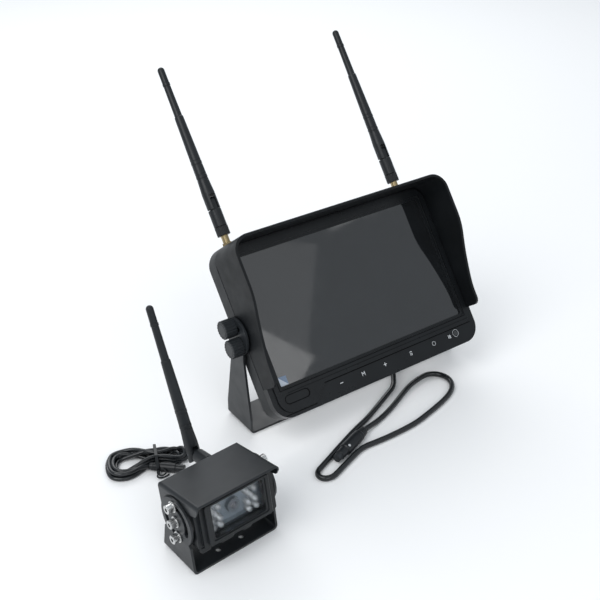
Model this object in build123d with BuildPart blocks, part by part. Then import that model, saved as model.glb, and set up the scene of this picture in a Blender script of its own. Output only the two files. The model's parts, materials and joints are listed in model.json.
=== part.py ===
"""Wireless backup camera kit: a nine-inch monitor on a U-bracket, and a rear camera on its own.

The monitor bracket stands on the floor plane with the centre of its base at the origin. +X is to the
monitor's right as the driver sees it, its screen faces -Y, and +Z is up. The monitor, the camera unit
and the camera head are each modelled square to their own axes, and the finished pieces are then moved
to where they stand.
"""

import os
from math import cos, pi, radians, sin, tan

from build123d import *

os.makedirs("parts", exist_ok=True)

# ---------------------------------------------------------------- driving dimensions, millimetres
# Screen and monitor case (local frame: tilt axis through the origin, -Y is the front)
screen_width = 199.0
screen_height = 112.7
screen_mid = 4.0
case_width = 224.0
case_top = 74.0
case_bottom = -79.0
case_corner = 16.0
case_wall = 2.5
case_rear = 14.0
split_y = -4.0
bezel_front = -11.0
panel_front = -12.5
visor_reach = -46.0
visor_wall = 2.3
visor_bottom = -49.5
monitor_tilt = 39.0

# Monitor bracket
bracket_width = 230.6
bracket_depth = 37.0
sheet = 2.0
bend_radius = 5.0
tilt_axis_height = 91.5
ear_radius = 16.4
knob_radius_from_axis = 8.5
knob_radius = 8.0
knob_length = 10.5
stud_radius = 2.5
tilt_back_limit = 45.0
tilt_forward_limit = 15.0
base_hole_x = 140.0
base_hole_y = 20.0
base_hole_radius = 2.25

# Antennas (local frame: nut's lower face at the origin, whip along +Z)
antenna_x = 92.0
antenna_foot = 83.1
nut_height = 7.8
nut_radius = 5.7
knuckle_top = 23.1
pin_height = 30.1
antenna_height = 152.0
camera_whip_bend = 77.0

# Camera unit (local frame: centre of its bracket's base at the origin)
camera_x = -199.2
camera_y = -107.2
camera_yaw = 4.5
camera_bracket_width = 77.0
camera_bracket_depth = 39.8
camera_sheet = 1.9
camera_axis_height = 39.2
camera_tilt = 11.0
head_radius = 19.3
side_screw_pitch = 13.0
camera_hole_pcd = 30.0

# Camera head (local frame: tilt axis through the origin, -Y is the front)
housing_half = 34.9
housing_top = 20.8
housing_bottom = -17.6
frame_front = -26.2
frame_back = -12.0
rear_face = 18.0
window_width = 46.0
window_height = 27.5
window_mid = 2.6
led_column = 16.0
led_pitch = 6.5
led_rows = (-10.5, -4.7, 4.7, 10.5)

# Cords
pigtail_diameter = 4.8
lead_diameter = 3.6

running_gap = 0.05
joint_gap = 0.2

# ---------------------------------------------------------------- placements
monitor_place = Location((0, 0, tilt_axis_height), (-monitor_tilt, 0, 0))
camera_place = Location((camera_x, camera_y, 0), (0, 0, camera_yaw))
head_place = camera_place * Location((0, 0, camera_axis_height), (-camera_tilt, 0, 0))


def antenna_place(frame, foot, up, across):
    """Return the place of an antenna whose nut stands at foot and points along up."""
    return frame * Plane(origin=foot, x_dir=across, z_dir=up).location


left_antenna_place = antenna_place(monitor_place, (-antenna_x, 1, antenna_foot), (0, 0, 1), (-1, 0, 0))
right_antenna_place = antenna_place(monitor_place, (antenna_x, 1, antenna_foot), (0, 0, 1), (-1, 0, 0))
camera_antenna_place = antenna_place(head_place, (14, 22.9, 11), (0, 1, 0), (1, 0, 0))


def around(radius, angle, centre):
    """Return the point at a radius and an angle in degrees about a centre."""
    return centre[0] + radius * cos(radians(angle)), centre[1] + radius * sin(radians(angle))


# ---------------------------------------------------------------- monitor bracket
slot_span = tilt_back_limit + tilt_forward_limit + 2
slot_start = 90 - tilt_back_limit - 1
slot_half = stud_radius + 0.2
ear_centre = (0, tilt_axis_height)

with BuildPart() as monitor_bracket:
    with BuildSketch(Plane.XZ) as bracket_outside:
        with Locations((0, 60)):
            Rectangle(bracket_width, 120)
        fillet(bracket_outside.vertices().group_by(Axis.Y)[0], bend_radius)
    extrude(amount=bracket_depth / 2, both=True)
    with BuildSketch(Plane.XZ) as bracket_inside:
        with Locations((0, 60 + sheet)):
            Rectangle(bracket_width - 2 * sheet, 120)
        fillet(bracket_inside.vertices().group_by(Axis.Y)[0], bend_radius - sheet)
    extrude(amount=bracket_depth / 2, both=True, mode=Mode.SUBTRACT)
    with BuildSketch(Plane.YZ):
        with BuildLine():
            Polyline(
                (-bracket_depth / 2, 0), (bracket_depth / 2, 0), (bracket_depth / 2, 15), (9.5, 70),
                (9.5, tilt_axis_height), (-9.5, tilt_axis_height), (-9.5, 70), (-bracket_depth / 2, 15),
                close=True,
            )
        make_face()
        with Locations((0, tilt_axis_height)):
            Circle(ear_radius)
    extrude(amount=bracket_width / 2, both=True, mode=Mode.INTERSECT)
    for half_turn in (0, 180):
        with BuildSketch(Plane.YZ):
            with BuildLine():
                turn_from = slot_start + half_turn
                outer_arc = CenterArc(ear_centre, knob_radius_from_axis + slot_half, turn_from, slot_span)
                inner_arc = CenterArc(ear_centre, knob_radius_from_axis - slot_half, turn_from, slot_span)
                Line(outer_arc @ 0, inner_arc @ 0)
                Line(outer_arc @ 1, inner_arc @ 1)
            make_face()
            with Locations(
                around(knob_radius_from_axis, slot_start + half_turn, ear_centre),
                around(knob_radius_from_axis, slot_start + slot_span + half_turn, ear_centre),
            ):
                Circle(slot_half)
        extrude(amount=bracket_width, both=True, mode=Mode.SUBTRACT)
    with Locations((0, 0, sheet)):
        with GridLocations(base_hole_x, base_hole_y, 2, 2):
            Hole(base_hole_radius, sheet)
monitor_bracket.part.label = "monitor_bracket"
export_step(monitor_bracket.part, "parts/monitor_bracket.step")

# ---------------------------------------------------------------- monitor: rear shell
case_mid = (case_top + case_bottom) / 2
case_height = case_top - case_bottom
boss_places = [(x, z) for x in (-98, 98) for z in (-50, 58)]
standoff_y = 4.5
gland_x = 58.0
gland_z = -60.0
speaker_x = -70.0
speaker_z = -35.0

with BuildPart() as rear_shell:
    with BuildSketch(Plane.XZ.offset(-case_rear)):
        with Locations((0, case_mid)):
            RectangleRounded(case_width, case_height, case_corner)
    extrude(amount=case_rear - split_y)
    fillet(rear_shell.faces().sort_by(Axis.Y)[-1].edges(), 5)
    offset(amount=-case_wall, openings=rear_shell.faces().sort_by(Axis.Y)[0])
    with BuildSketch(Plane.XZ.offset(-standoff_y)):
        with Locations(*boss_places):
            Circle(4.5)
    extrude(amount=-(case_rear - case_wall - standoff_y))
    for side in (-1, 1):
        with Locations((side * 106.5, 2.2, 0)):
            Box(8, 11, 31)
    with BuildSketch(Plane.XZ.offset(-case_rear)):
        with Locations(*boss_places):
            Circle(1.7)
    extrude(amount=case_rear, mode=Mode.SUBTRACT)
    with BuildSketch(Plane.XZ.offset(-case_rear)):
        with Locations(*boss_places):
            Circle(3.2)
    extrude(amount=2.4, mode=Mode.SUBTRACT)
    with BuildSketch(Plane.YZ):
        with Locations((0, knob_radius_from_axis), (0, -knob_radius_from_axis)):
            Circle(3.75)
    extrude(amount=case_width, both=True, mode=Mode.SUBTRACT)
    with BuildSketch(Plane.XY.offset(case_top - 5)):
        with Locations((-antenna_x, 1), (antenna_x, 1)):
            Circle(3.25)
    extrude(amount=8, mode=Mode.SUBTRACT)
    with BuildSketch(Plane.XZ.offset(-case_rear)):
        with Locations((gland_x, gland_z)):
            Circle(4.1)
        with Locations((0, 30)):
            with GridLocations(9, 0, 12, 1):
                SlotOverall(26, 2.6, rotation=90)
        with Locations((speaker_x, speaker_z)):
            Circle(1.2)
            with PolarLocations(5, 6):
                Circle(1.2)
            with PolarLocations(10, 12):
                Circle(1.2)
    extrude(amount=5, mode=Mode.SUBTRACT)
rear_shell.part.label = "rear_shell"
rear_shell.part.move(monitor_place)
export_step(rear_shell.part, "parts/rear_shell.step")

# ---------------------------------------------------------------- monitor: front bezel
neck_half = case_width / 2 - visor_wall - 0.4
neck_top = case_top - visor_wall - 0.4
pocket_width = 213.0
pocket_height = 129.0
window_back = -10.3
keys_x = (-44.0, -20.5, 3.5, 33.0, 60.0)
keys_z = -68.4
ir_x = 86.5

with BuildPart() as front_bezel:
    with BuildSketch(Plane.XZ.offset(-split_y)):
        with Locations((0, case_mid)):
            RectangleRounded(case_width, case_height, case_corner)
    extrude(amount=split_y - bezel_front)
    with BuildSketch(Plane.XZ.offset(-split_y)):
        with Locations((0, visor_bottom)):
            Rectangle(case_width + 2, 210, align=(Align.CENTER, Align.MIN))
        with Locations((0, (neck_top - 90) / 2)):
            RectangleRounded(2 * neck_half, neck_top + 90, case_corner - visor_wall, mode=Mode.SUBTRACT)
    extrude(amount=split_y - bezel_front, mode=Mode.SUBTRACT)
    with BuildSketch(Plane.XZ.offset(-bezel_front)) as raised_panel:
        with BuildLine():
            Polyline(
                (-107, 70), (107, 70), (107, -62), (-60, -62), (-73, -75.4), (-107, -75.4), close=True,
            )
        make_face()
        fillet(raised_panel.vertices().group_by(Axis.Y)[-1], 11)
        fillet(raised_panel.vertices().group_by(Axis.X)[0].sort_by(Axis.Y)[0], 13)
        fillet(raised_panel.vertices().group_by(Axis.X)[-1].sort_by(Axis.Y)[0], 9)
    extrude(amount=bezel_front - panel_front)
    with BuildSketch(Plane.XZ.offset(-panel_front)):
        with Locations((0, screen_mid)):
            RectangleRounded(screen_width + 5, screen_height + 5, 4)
    extrude(amount=-0.7, mode=Mode.SUBTRACT)
    with BuildSketch(Plane.XZ.offset(-panel_front)):
        with Locations((0, screen_mid)):
            RectangleRounded(screen_width, screen_height, 1.5)
    extrude(amount=panel_front - split_y - 1, mode=Mode.SUBTRACT)
    with BuildSketch(Plane.XZ.offset(-window_back)):
        with Locations((0, screen_mid)):
            Rectangle(pocket_width, pocket_height)
    extrude(amount=window_back - split_y, mode=Mode.SUBTRACT)
    with BuildSketch(Plane.XZ.offset(9.5)):
        with Locations((16, keys_z)):
            Rectangle(170, 13)
    extrude(amount=-10, mode=Mode.SUBTRACT)
    with BuildSketch(Plane.XZ.offset(-bezel_front)):
        with Locations((ir_x, keys_z + 1)):
            Circle(2.3)
    extrude(amount=-4, mode=Mode.SUBTRACT)
    with BuildSketch(Plane.XZ.offset(-panel_front)):
        with Locations((-88.5, -64)):
            SlotOverall(25, 8)
    extrude(amount=-0.6, mode=Mode.SUBTRACT)
front_bezel.part.label = "front_bezel"
front_bezel.part.move(monitor_place)
export_step(front_bezel.part, "parts/front_bezel.step")

# ---------------------------------------------------------------- monitor: visor
with BuildPart() as visor:
    with BuildSketch(Plane.XZ.offset(-visor_reach)):
        with Locations((0, (case_top - 0.2 - 120) / 2)):
            RectangleRounded(case_width - 0.4, case_top - 0.2 + 120, case_corner - 1)
        with Locations((0, (case_top - 0.2 - visor_wall - 120) / 2)):
            RectangleRounded(
                case_width - 0.4 - 2 * visor_wall, case_top - 0.2 - visor_wall + 120,
                case_corner - 1 - visor_wall, mode=Mode.SUBTRACT,
            )
    extrude(amount=visor_reach - split_y + 0.3)
    with BuildSketch(Plane.YZ) as visor_side:
        with BuildLine():
            top_edge = Polyline((-28, -40), (-28, visor_bottom), (split_y - 0.3, visor_bottom),
                                (split_y - 0.3, case_top), (visor_reach, case_top), (visor_reach, 34))
            Spline(top_edge @ 1, (-38.8, 6), (-30.4, -22), top_edge @ 0, tangents=((0, -1), (0, -1)))
        make_face()
        fillet(visor_side.vertices().group_by(Axis.Y)[0].sort_by(Axis.X)[0], 6)
        fillet(visor_side.vertices().group_by(Axis.Y)[-1].sort_by(Axis.X)[0], 1.5)
    extrude(amount=case_width, both=True, mode=Mode.INTERSECT)
visor.part.label = "visor"
visor.part.move(monitor_place)
export_step(visor.part, "parts/visor.step")

# ---------------------------------------------------------------- monitor: inner pieces
with BuildPart() as screen_window:
    with BuildSketch(Plane.XZ.offset(-window_back)):
        with Locations((0, screen_mid)):
            RectangleRounded(pocket_width - 0.6, pocket_height - 0.6, 2)
    extrude(amount=-1.5)
screen_window.part.label = "screen_window"
screen_window.part.move(monitor_place)
export_step(screen_window.part, "parts/screen_window.step")

with BuildPart() as lcd_panel:
    with BuildSketch(Plane.XZ.offset(8.8)):
        with Locations((0, screen_mid)):
            Rectangle(210.7, 126.5)
    extrude(amount=-4.2)
lcd_panel.part.label = "lcd_panel"
lcd_panel.part.move(monitor_place)
export_step(lcd_panel.part, "parts/lcd_panel.step")

board_feet = [(x, z) for x in (-68, 68) for z in (-38, 46)]
with BuildPart() as panel_frame:
    with BuildSketch(Plane.XZ.offset(4.6)):
        with Locations((0, screen_mid)):
            Rectangle(211, 127)
    extrude(amount=-0.8)
    with BuildSketch(Plane.XZ.offset(3.8)):
        with Locations(*boss_places, *board_feet):
            Circle(3)
    extrude(amount=-(3.8 + standoff_y))
    with BuildSketch(Plane.XZ.offset(-standoff_y)):
        with Locations(*boss_places):
            Circle(1.5 + running_gap)
    extrude(amount=6, mode=Mode.SUBTRACT)
panel_frame.part.label = "panel_frame"
panel_frame.part.move(monitor_place)
export_step(panel_frame.part, "parts/panel_frame.step")

with BuildPart() as main_board:
    with BuildSketch(Plane.XZ.offset(-standoff_y)):
        with Locations((0, screen_mid)):
            Rectangle(150, 98)
    extrude(amount=-1.6)
    chip_base = -(standoff_y + 1.6)
    with BuildSketch(Plane.XZ.offset(chip_base)):
        with Locations((-20, 10)):
            Rectangle(22, 22)
        with Locations((25, -8)):
            Rectangle(14, 10)
        with Locations((48, 28), (-50, 30)):
            Rectangle(28, 20)
        with Locations((54, -38)):
            Rectangle(16, 7)
    extrude(amount=-2.6)
main_board.part.label = "main_board"
main_board.part.move(monitor_place)
export_step(main_board.part, "parts/main_board.step")

with BuildPart() as speaker:
    with BuildSketch(Plane.XZ.offset(-(case_rear - case_wall))):
        with Locations((speaker_x, speaker_z)):
            Circle(13)
    extrude(amount=1.2)
    with BuildSketch(Plane.XZ.offset(-(case_rear - case_wall - 1.2))):
        with Locations((speaker_x, speaker_z)):
            Circle(8)
    extrude(amount=3.2)
speaker.part.label = "speaker"
speaker.part.move(monitor_place)
export_step(speaker.part, "parts/speaker.step")

with BuildPart() as touch_board:
    with BuildSketch(Plane.XZ.offset(9.1)):
        with Locations((16, keys_z)):
            Rectangle(166, 11)
    extrude(amount=-1.2)
    with BuildSketch(Plane.XZ.offset(9.1)):
        with Locations(*[(x, keys_z) for x in keys_x]):
            Circle(4.5)
    extrude(amount=0.4)
touch_board.part.label = "touch_board"
touch_board.part.move(monitor_place)
export_step(touch_board.part, "parts/touch_board.step")

with BuildPart() as ir_window:
    with BuildSketch(Plane.XZ.offset(-bezel_front + 0.1)):
        with Locations((ir_x, keys_z + 1)):
            Circle(2.3)
    extrude(amount=-1.6)
ir_window.part.label = "ir_window"
ir_window.part.move(monitor_place)
export_step(ir_window.part, "parts/ir_window.step")

with BuildPart() as case_screws:
    with BuildSketch(Plane.XZ.offset(-(case_rear - 2.4))):
        with Locations(*boss_places):
            Circle(2.9)
    extrude(amount=-2)
    with BuildSketch(Plane.XZ.offset(-(case_rear - 2.4))):
        with Locations(*boss_places):
            Circle(1.5)
    extrude(amount=12)
    with BuildSketch(Plane.XZ.offset(-(case_rear - 0.4))):
        with Locations(*boss_places):
            Rectangle(3.6, 0.8)
            Rectangle(0.8, 3.6)
    extrude(amount=1.1, mode=Mode.SUBTRACT)
case_screws.part.label = "case_screws"
case_screws.part.move(monitor_place)
export_step(case_screws.part, "parts/case_screws.step")

knob_spots = [(0, knob_radius_from_axis), (0, -knob_radius_from_axis)]
half_case = case_width / 2

with BuildPart() as knob_inserts:
    for side in (-1, 1):
        with BuildSketch(Plane.YZ.offset(side * half_case)):
            with Locations(*knob_spots):
                Circle(3.75)
                Circle(stud_radius + running_gap, mode=Mode.SUBTRACT)
        extrude(amount=-side * 8.5)
knob_inserts.part.label = "knob_inserts"
knob_inserts.part.move(monitor_place)
export_step(knob_inserts.part, "parts/knob_inserts.step")

with BuildPart() as arm_washers:
    for side in (-1, 1):
        with BuildSketch(Plane.YZ.offset(side * half_case)):
            with Locations(*knob_spots):
                Circle(6)
                Circle(stud_radius + 0.2, mode=Mode.SUBTRACT)
        extrude(amount=side * 1.1)
arm_washers.part.label = "arm_washers"
arm_washers.part.move(monitor_place)
export_step(arm_washers.part, "parts/arm_washers.step")

with BuildPart() as antenna_sockets:
    for side in (-1, 1):
        with BuildSketch(Plane.XY.offset(case_top)):
            with Locations((side * antenna_x, 1)):
                RegularPolygon(4.0, 6, major_radius=False)
        extrude(amount=2.4)
        with BuildSketch(Plane.XY.offset(case_top - 6)):
            with Locations((side * antenna_x, 1)):
                Circle(3.15)
        extrude(amount=20)
        with BuildSketch(Plane.XY.offset(case_top - 6)):
            with Locations((side * antenna_x, 1)):
                Circle(4.6)
        extrude(amount=3.4)
        with BuildSketch(Plane.XY.offset(case_top + 14)):
            with Locations((side * antenna_x, 1)):
                Circle(1.5)
        extrude(amount=-8, mode=Mode.SUBTRACT)
antenna_sockets.part.label = "antenna_sockets"
antenna_sockets.part.move(monitor_place)
export_step(antenna_sockets.part, "parts/antenna_sockets.step")


def strain_relief(face, wall, flange, neck, tip, bore, length):
    """Return the half section, in the XY plane, of a strain relief that grips a wall and points along +Y.

    Its outer flange lies on the wall's face, and its neck goes through the wall to a second flange.
    """
    inner = face - wall - 0.1
    return [
        (bore, inner - 1.6), (flange, inner - 1.6), (flange, inner), (neck, inner), (neck, face),
        (flange, face), (flange, face + 1.6), (neck, face + 3), (tip, face + length), (bore, face + length),
    ]


gland_length = 12.0
with BuildPart() as pigtail_gland:
    with BuildSketch(Plane.XY):
        with BuildLine():
            Polyline(
                *strain_relief(case_rear, case_wall, 5.2, 4.05, 3.2, pigtail_diameter / 2, gland_length),
                close=True,
            )
        make_face()
    revolve(axis=Axis.Y)
pigtail_gland.part.label = "pigtail_gland"
pigtail_gland.part.move(monitor_place * Location((gland_x, 0, gland_z)))
export_step(pigtail_gland.part, "parts/pigtail_gland.step")

# ---------------------------------------------------------------- tilt knobs
arm_face = bracket_width / 2 + joint_gap
for side_name, side in (("left", -1), ("right", 1)):
    for height_name, height in (("lower", -knob_radius_from_axis), ("upper", knob_radius_from_axis)):
        with BuildPart() as knob:
            with BuildSketch(Plane.YZ.offset(side * arm_face)):
                with Locations((0, height)):
                    Circle(knob_radius)
                    with PolarLocations(knob_radius + 0.35, 18):
                        Circle(0.9, mode=Mode.SUBTRACT)
            extrude(amount=side * knob_length)
            knob_end = knob.faces().sort_by(Axis.X)[0 if side < 0 else -1]
            chamfer(knob_end.edges(), 0.5)
            with BuildSketch(Plane.YZ.offset(side * (arm_face + knob_length))):
                with Locations((0, height)):
                    Circle(6.1)
                    Circle(5.6, mode=Mode.SUBTRACT)
            extrude(amount=-side * 0.4, mode=Mode.SUBTRACT)
            with BuildSketch(Plane.YZ.offset(side * arm_face)):
                with Locations((0, height)):
                    Circle(stud_radius)
            extrude(amount=side * (knob_length - 4), mode=Mode.SUBTRACT)
        knob.part.label = f"knob_{side_name}_{height_name}"
        knob.part.move(monitor_place)
        export_step(knob.part, f"parts/knob_{side_name}_{height_name}.step")
        with BuildPart() as stud:
            with BuildSketch(Plane.YZ.offset(side * (half_case - 7))):
                with Locations((0, height)):
                    Circle(stud_radius)
            extrude(amount=side * (arm_face + knob_length - 4 - half_case + 7))
        stud.part.label = f"stud_{side_name}_{height_name}"
        stud.part.move(monitor_place)
        export_step(stud.part, f"parts/stud_{side_name}_{height_name}.step")

# ---------------------------------------------------------------- antennas
thread_clear = 3.3
stem_radius = 2.4
fork_bottom = knuckle_top + 0.5
fork_top = pin_height + 5.9
fork_radius = 5.6
tongue_half = 2.1
prong_reach = pin_height - fork_bottom


def whip_section():
    """Return the half section of the whip from the fork to its rounded tip."""
    tip = 3.0
    return [
        (0, fork_bottom), (fork_radius, fork_bottom), (fork_radius, 38), (4.85, 50), (4.85, 50.6),
        (4.55, 50.8), (4.55, 51.3), (4.9, 51.5), (4.9, 54.0), (4.55, 54.2), (4.55, 54.7), (4.75, 54.9),
        (4.65, 63.2), (4.4, 63.4), (4.4, 63.9), (4.75, 64.1), (4.75, 66.6), (4.4, 66.8), (4.4, 67.3),
        (4.6, 67.5), (3.85, 107), (3.3, 107.6), (3.0, 134.6), (2.8, 134.8), (2.8, 135.2), (3.3, 135.4),
        (3.3, 137.6), (2.85, 137.8), (2.85, 138.2), (3.05, 138.4), (tip, antenna_height - tip),
    ]


for antenna_name, place, bend in (
    ("left_antenna", left_antenna_place, 0.0),
    ("right_antenna", right_antenna_place, 0.0),
    ("camera_antenna", camera_antenna_place, camera_whip_bend),
):
    with BuildPart() as antenna_nut:
        with BuildSketch(Plane.XY):
            Circle(nut_radius)
            with PolarLocations(nut_radius + 0.25, 24):
                Circle(0.55, mode=Mode.SUBTRACT)
        extrude(amount=nut_height)
        chamfer(antenna_nut.faces().filter_by(Axis.Z).edges(), 0.25)
        with BuildSketch(Plane.XY):
            Circle(thread_clear)
        extrude(amount=5.6, mode=Mode.SUBTRACT)
        with BuildSketch(Plane.XY):
            Circle(stem_radius + running_gap)
        extrude(amount=nut_height, mode=Mode.SUBTRACT)
    antenna_nut.part.label = f"{antenna_name}_nut"
    antenna_nut.part.move(place)
    export_step(antenna_nut.part, f"parts/{antenna_name}_nut.step")

    with BuildPart() as knuckle:
        with BuildSketch(Plane.XY.offset(5.2)):
            Circle(stem_radius)
        extrude(amount=4)
        with BuildSketch(Plane.XY.offset(nut_height + 0.3)):
            Circle(fork_radius)
        extrude(amount=knuckle_top - nut_height - 0.3)
        chamfer(knuckle.faces().sort_by(Axis.Z)[-1].edges(), 0.4)
        with BuildSketch(Plane.YZ):
            with Locations((0, pin_height)):
                Circle(4.1)
            with Locations((0, (pin_height + knuckle_top) / 2 - 0.5)):
                Rectangle(8.2, pin_height - knuckle_top + 1)
        extrude(amount=tongue_half, both=True)
        with BuildSketch(Plane.YZ):
            with Locations((0, pin_height)):
                Circle(1.2)
        extrude(amount=fork_radius, both=True, mode=Mode.SUBTRACT)
    knuckle.part.label = f"{antenna_name}_knuckle"
    knuckle.part.move(place)
    export_step(knuckle.part, f"parts/{antenna_name}_knuckle.step")

    with BuildPart() as hinge_pin:
        with BuildSketch(Plane.YZ):
            with Locations((0, pin_height)):
                Circle(1.2)
        extrude(amount=5.3, both=True)
    hinge_pin.part.label = f"{antenna_name}_pin"
    hinge_pin.part.move(place)
    export_step(hinge_pin.part, f"parts/{antenna_name}_pin.step")

    with BuildPart() as whip:
        with BuildSketch(Plane.XZ):
            with BuildLine():
                edge = Polyline(*whip_section())
                tip_arc = RadiusArc(edge @ 1, (0, antenna_height), -3.0)
                Line(tip_arc @ 1, (0, fork_bottom))
            make_face()
        revolve(axis=Axis.Z)
        with BuildSketch(Plane.YZ):
            with BuildLine():
                Polyline(
                    (0, fork_bottom - 1), (-9, fork_bottom - 1), (-9, pin_height), (-prong_reach, pin_height)
                )
                RadiusArc((-prong_reach, pin_height), (0, fork_bottom), -prong_reach)
                Line((0, fork_bottom), (0, fork_bottom - 1))
            make_face()
        extrude(amount=fork_radius + 1, both=True, mode=Mode.SUBTRACT)
        with BuildSketch(Plane.YZ):
            with Locations((0, (fork_bottom + fork_top) / 2 - 1)):
                Rectangle(14, fork_top - fork_bottom + 2)
        extrude(amount=tongue_half + 0.3, both=True, mode=Mode.SUBTRACT)
        with BuildSketch(Plane.YZ):
            with Locations((0, pin_height)):
                Circle(1.2 + running_gap)
        extrude(amount=fork_radius, both=True, mode=Mode.SUBTRACT)
    whip.part.label = f"{antenna_name}_whip"
    bend_place = Location((0, 0, pin_height), (bend, 0, 0)) * Location((0, 0, -pin_height))
    whip.part.move(place * bend_place)
    export_step(whip.part, f"parts/{antenna_name}_whip.step")

# ---------------------------------------------------------------- camera bracket
camera_half = camera_bracket_width / 2
camera_slot_start = 72.0
camera_slot_size = 128.0
slot_half_width = 2.2
head_centre = (0, camera_axis_height)

with BuildPart() as camera_bracket:
    with BuildSketch(Plane.XZ) as camera_outside:
        with Locations((0, 40)):
            Rectangle(camera_bracket_width, 80)
        fillet(camera_outside.vertices().group_by(Axis.Y)[0], 4)
    extrude(amount=camera_bracket_depth / 2, both=True)
    with BuildSketch(Plane.XZ) as camera_inside:
        with Locations((0, 40 + camera_sheet)):
            Rectangle(camera_bracket_width - 2 * camera_sheet, 80)
        fillet(camera_inside.vertices().group_by(Axis.Y)[0], 4 - camera_sheet)
    extrude(amount=camera_bracket_depth / 2, both=True, mode=Mode.SUBTRACT)
    with BuildSketch(Plane.YZ):
        with BuildLine():
            Polyline(
                (-camera_bracket_depth / 2, 0), (camera_bracket_depth / 2, 0),
                (camera_bracket_depth / 2, 3), (16.5, 24), (14.5, 26.5), (14.5, 30), (-14.5, 30),
                (-14.5, 26.5), (-16.5, 24), (-camera_bracket_depth / 2, 3), close=True,
            )
        make_face()
        with Locations((0, camera_axis_height)):
            Circle(head_radius)
    extrude(amount=camera_half, both=True, mode=Mode.INTERSECT)
    for half_turn in (0, 180):
        with BuildSketch(Plane.YZ):
            with BuildLine():
                turn_from = camera_slot_start + half_turn
                outer_radius, inner_radius = side_screw_pitch + slot_half_width, side_screw_pitch - slot_half_width
                outer_arc = CenterArc(head_centre, outer_radius, turn_from, camera_slot_size)
                inner_arc = CenterArc(head_centre, inner_radius, turn_from, camera_slot_size)
                Line(outer_arc @ 0, inner_arc @ 0)
                Line(outer_arc @ 1, inner_arc @ 1)
            make_face()
            with Locations(
                around(side_screw_pitch, camera_slot_start + half_turn, head_centre),
                around(side_screw_pitch, camera_slot_start + camera_slot_size + half_turn, head_centre),
            ):
                Circle(slot_half_width)
        extrude(amount=camera_half + 1, both=True, mode=Mode.SUBTRACT)
    with BuildSketch(Plane.YZ):
        with Locations((0, camera_axis_height)):
            Circle(2.2)
    extrude(amount=camera_half + 1, both=True, mode=Mode.SUBTRACT)
    with Locations((0, 0, camera_sheet)):
        with PolarLocations(camera_hole_pcd / 2, 4, start_angle=45):
            Hole(2.2, camera_sheet)
camera_bracket.part.label = "camera_bracket"
camera_bracket.part.move(camera_place)
export_step(camera_bracket.part, "parts/camera_bracket.step")

# ---------------------------------------------------------------- camera housing
head_wall = 2.2
arm_inner = camera_half - camera_sheet
boss_face = arm_inner - joint_gap
boss_radius = 19.6
screw_spots = [(0, side_screw_pitch), (0, 0), (0, -side_screw_pitch)]
head_mid = (housing_top + housing_bottom) / 2
head_height = housing_top - housing_bottom
cover_spots = [(x, z) for x in (-29.5, 29.5) for z in (-12.4, 15.6)]
camera_gland_x = -17.0
camera_gland_z = -6.0
socket_x = 14.0
socket_z = 11.0

with BuildPart() as camera_housing:
    with BuildSketch(Plane.XZ.offset(-frame_back)):
        with Locations((0, head_mid)):
            RectangleRounded(2 * housing_half, head_height, 2.5)
    extrude(amount=frame_back - rear_face)
    for side in (-1, 1):
        with BuildSketch(Plane.YZ.offset(side * (housing_half - 0.5))):
            Circle(boss_radius)
        extrude(amount=side * (boss_face - housing_half + 0.5))
    with BuildSketch(Plane.XZ.offset(-frame_back)):
        with Locations((0, head_mid)):
            RectangleRounded(80, head_height + 2 * 0.9, 3)
    extrude(amount=frame_back - rear_face, mode=Mode.INTERSECT)
    with BuildSketch(Plane.XZ.offset(-frame_back)):
        with Locations((0, head_mid)):
            RectangleRounded(2 * (housing_half - head_wall), head_height - 2 * head_wall, 1.5)
    extrude(amount=frame_back - rear_face, mode=Mode.SUBTRACT)
    for side in (-1, 1):
        with BuildSketch(Plane.YZ.offset(side * (housing_half - head_wall + 0.5))):
            with Locations(*screw_spots):
                Circle(4)
        extrude(amount=-side * 6)
    with BuildSketch(Plane.XZ.offset(-rear_face)):
        with Locations(*cover_spots):
            Circle(3.4)
    extrude(amount=9)
    with BuildSketch(Plane.XZ.offset(-rear_face)):
        with Locations(*cover_spots):
            Circle(1.25)
    extrude(amount=8, mode=Mode.SUBTRACT)
    with BuildSketch(Plane.YZ):
        with Locations(*screw_spots):
            Circle(2 + running_gap)
    extrude(amount=camera_half + 5, both=True, mode=Mode.SUBTRACT)
camera_housing.part.label = "camera_housing"
camera_housing.part.move(head_place)
export_step(camera_housing.part, "parts/camera_housing.step")

frame_steps = [(2 * housing_half + 0.4, head_height, -20.4), (63.2, head_height - 2.0, -23.2),
               (56.6, head_height - 4.6, frame_front)]
with BuildPart() as camera_front_frame:
    for step_width, step_height, step_front in frame_steps:
        with BuildSketch(Plane.XZ.offset(-frame_back + 0.1)):
            with Locations((0, head_mid)):
                RectangleRounded(step_width, step_height, 2)
        extrude(amount=frame_back - 0.1 - step_front)
    chamfer(camera_front_frame.faces().sort_by(Axis.Y)[0].edges(), 0.5)
    with BuildSketch(Plane.XZ.offset(-frame_front)):
        with Locations((0, window_mid)):
            RectangleRounded(window_width + 4, window_height + 2.6, 2)
    extrude(amount=-0.8, mode=Mode.SUBTRACT)
    with BuildSketch(Plane.XZ.offset(-frame_front)):
        with Locations((0, window_mid)):
            RectangleRounded(window_width, window_height, 2)
    extrude(amount=frame_front - frame_back - 0.1, mode=Mode.SUBTRACT)
    with BuildSketch(Plane.XZ.offset(-frame_back + 0.1)):
        with Locations((0, window_mid)):
            RectangleRounded(window_width + 8, window_height + 2.4, 2)
    extrude(amount=9.1, mode=Mode.SUBTRACT)
    with BuildSketch(Plane.XY.offset(housing_bottom + 1)):
        with Locations((-29.5, -17.4), (7, -17.4)):
            RectangleRounded(9, 7.6, 2)
        with Locations((-11, -17.4)):
            RectangleRounded(13, 7.6, 2)
    extrude(amount=-4.4)
    fillet(camera_front_frame.faces().sort_by(Axis.Z)[:3].edges(), 1.2)
camera_front_frame.part.label = "camera_front_frame"
camera_front_frame.part.move(head_place)
export_step(camera_front_frame.part, "parts/camera_front_frame.step")

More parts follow.
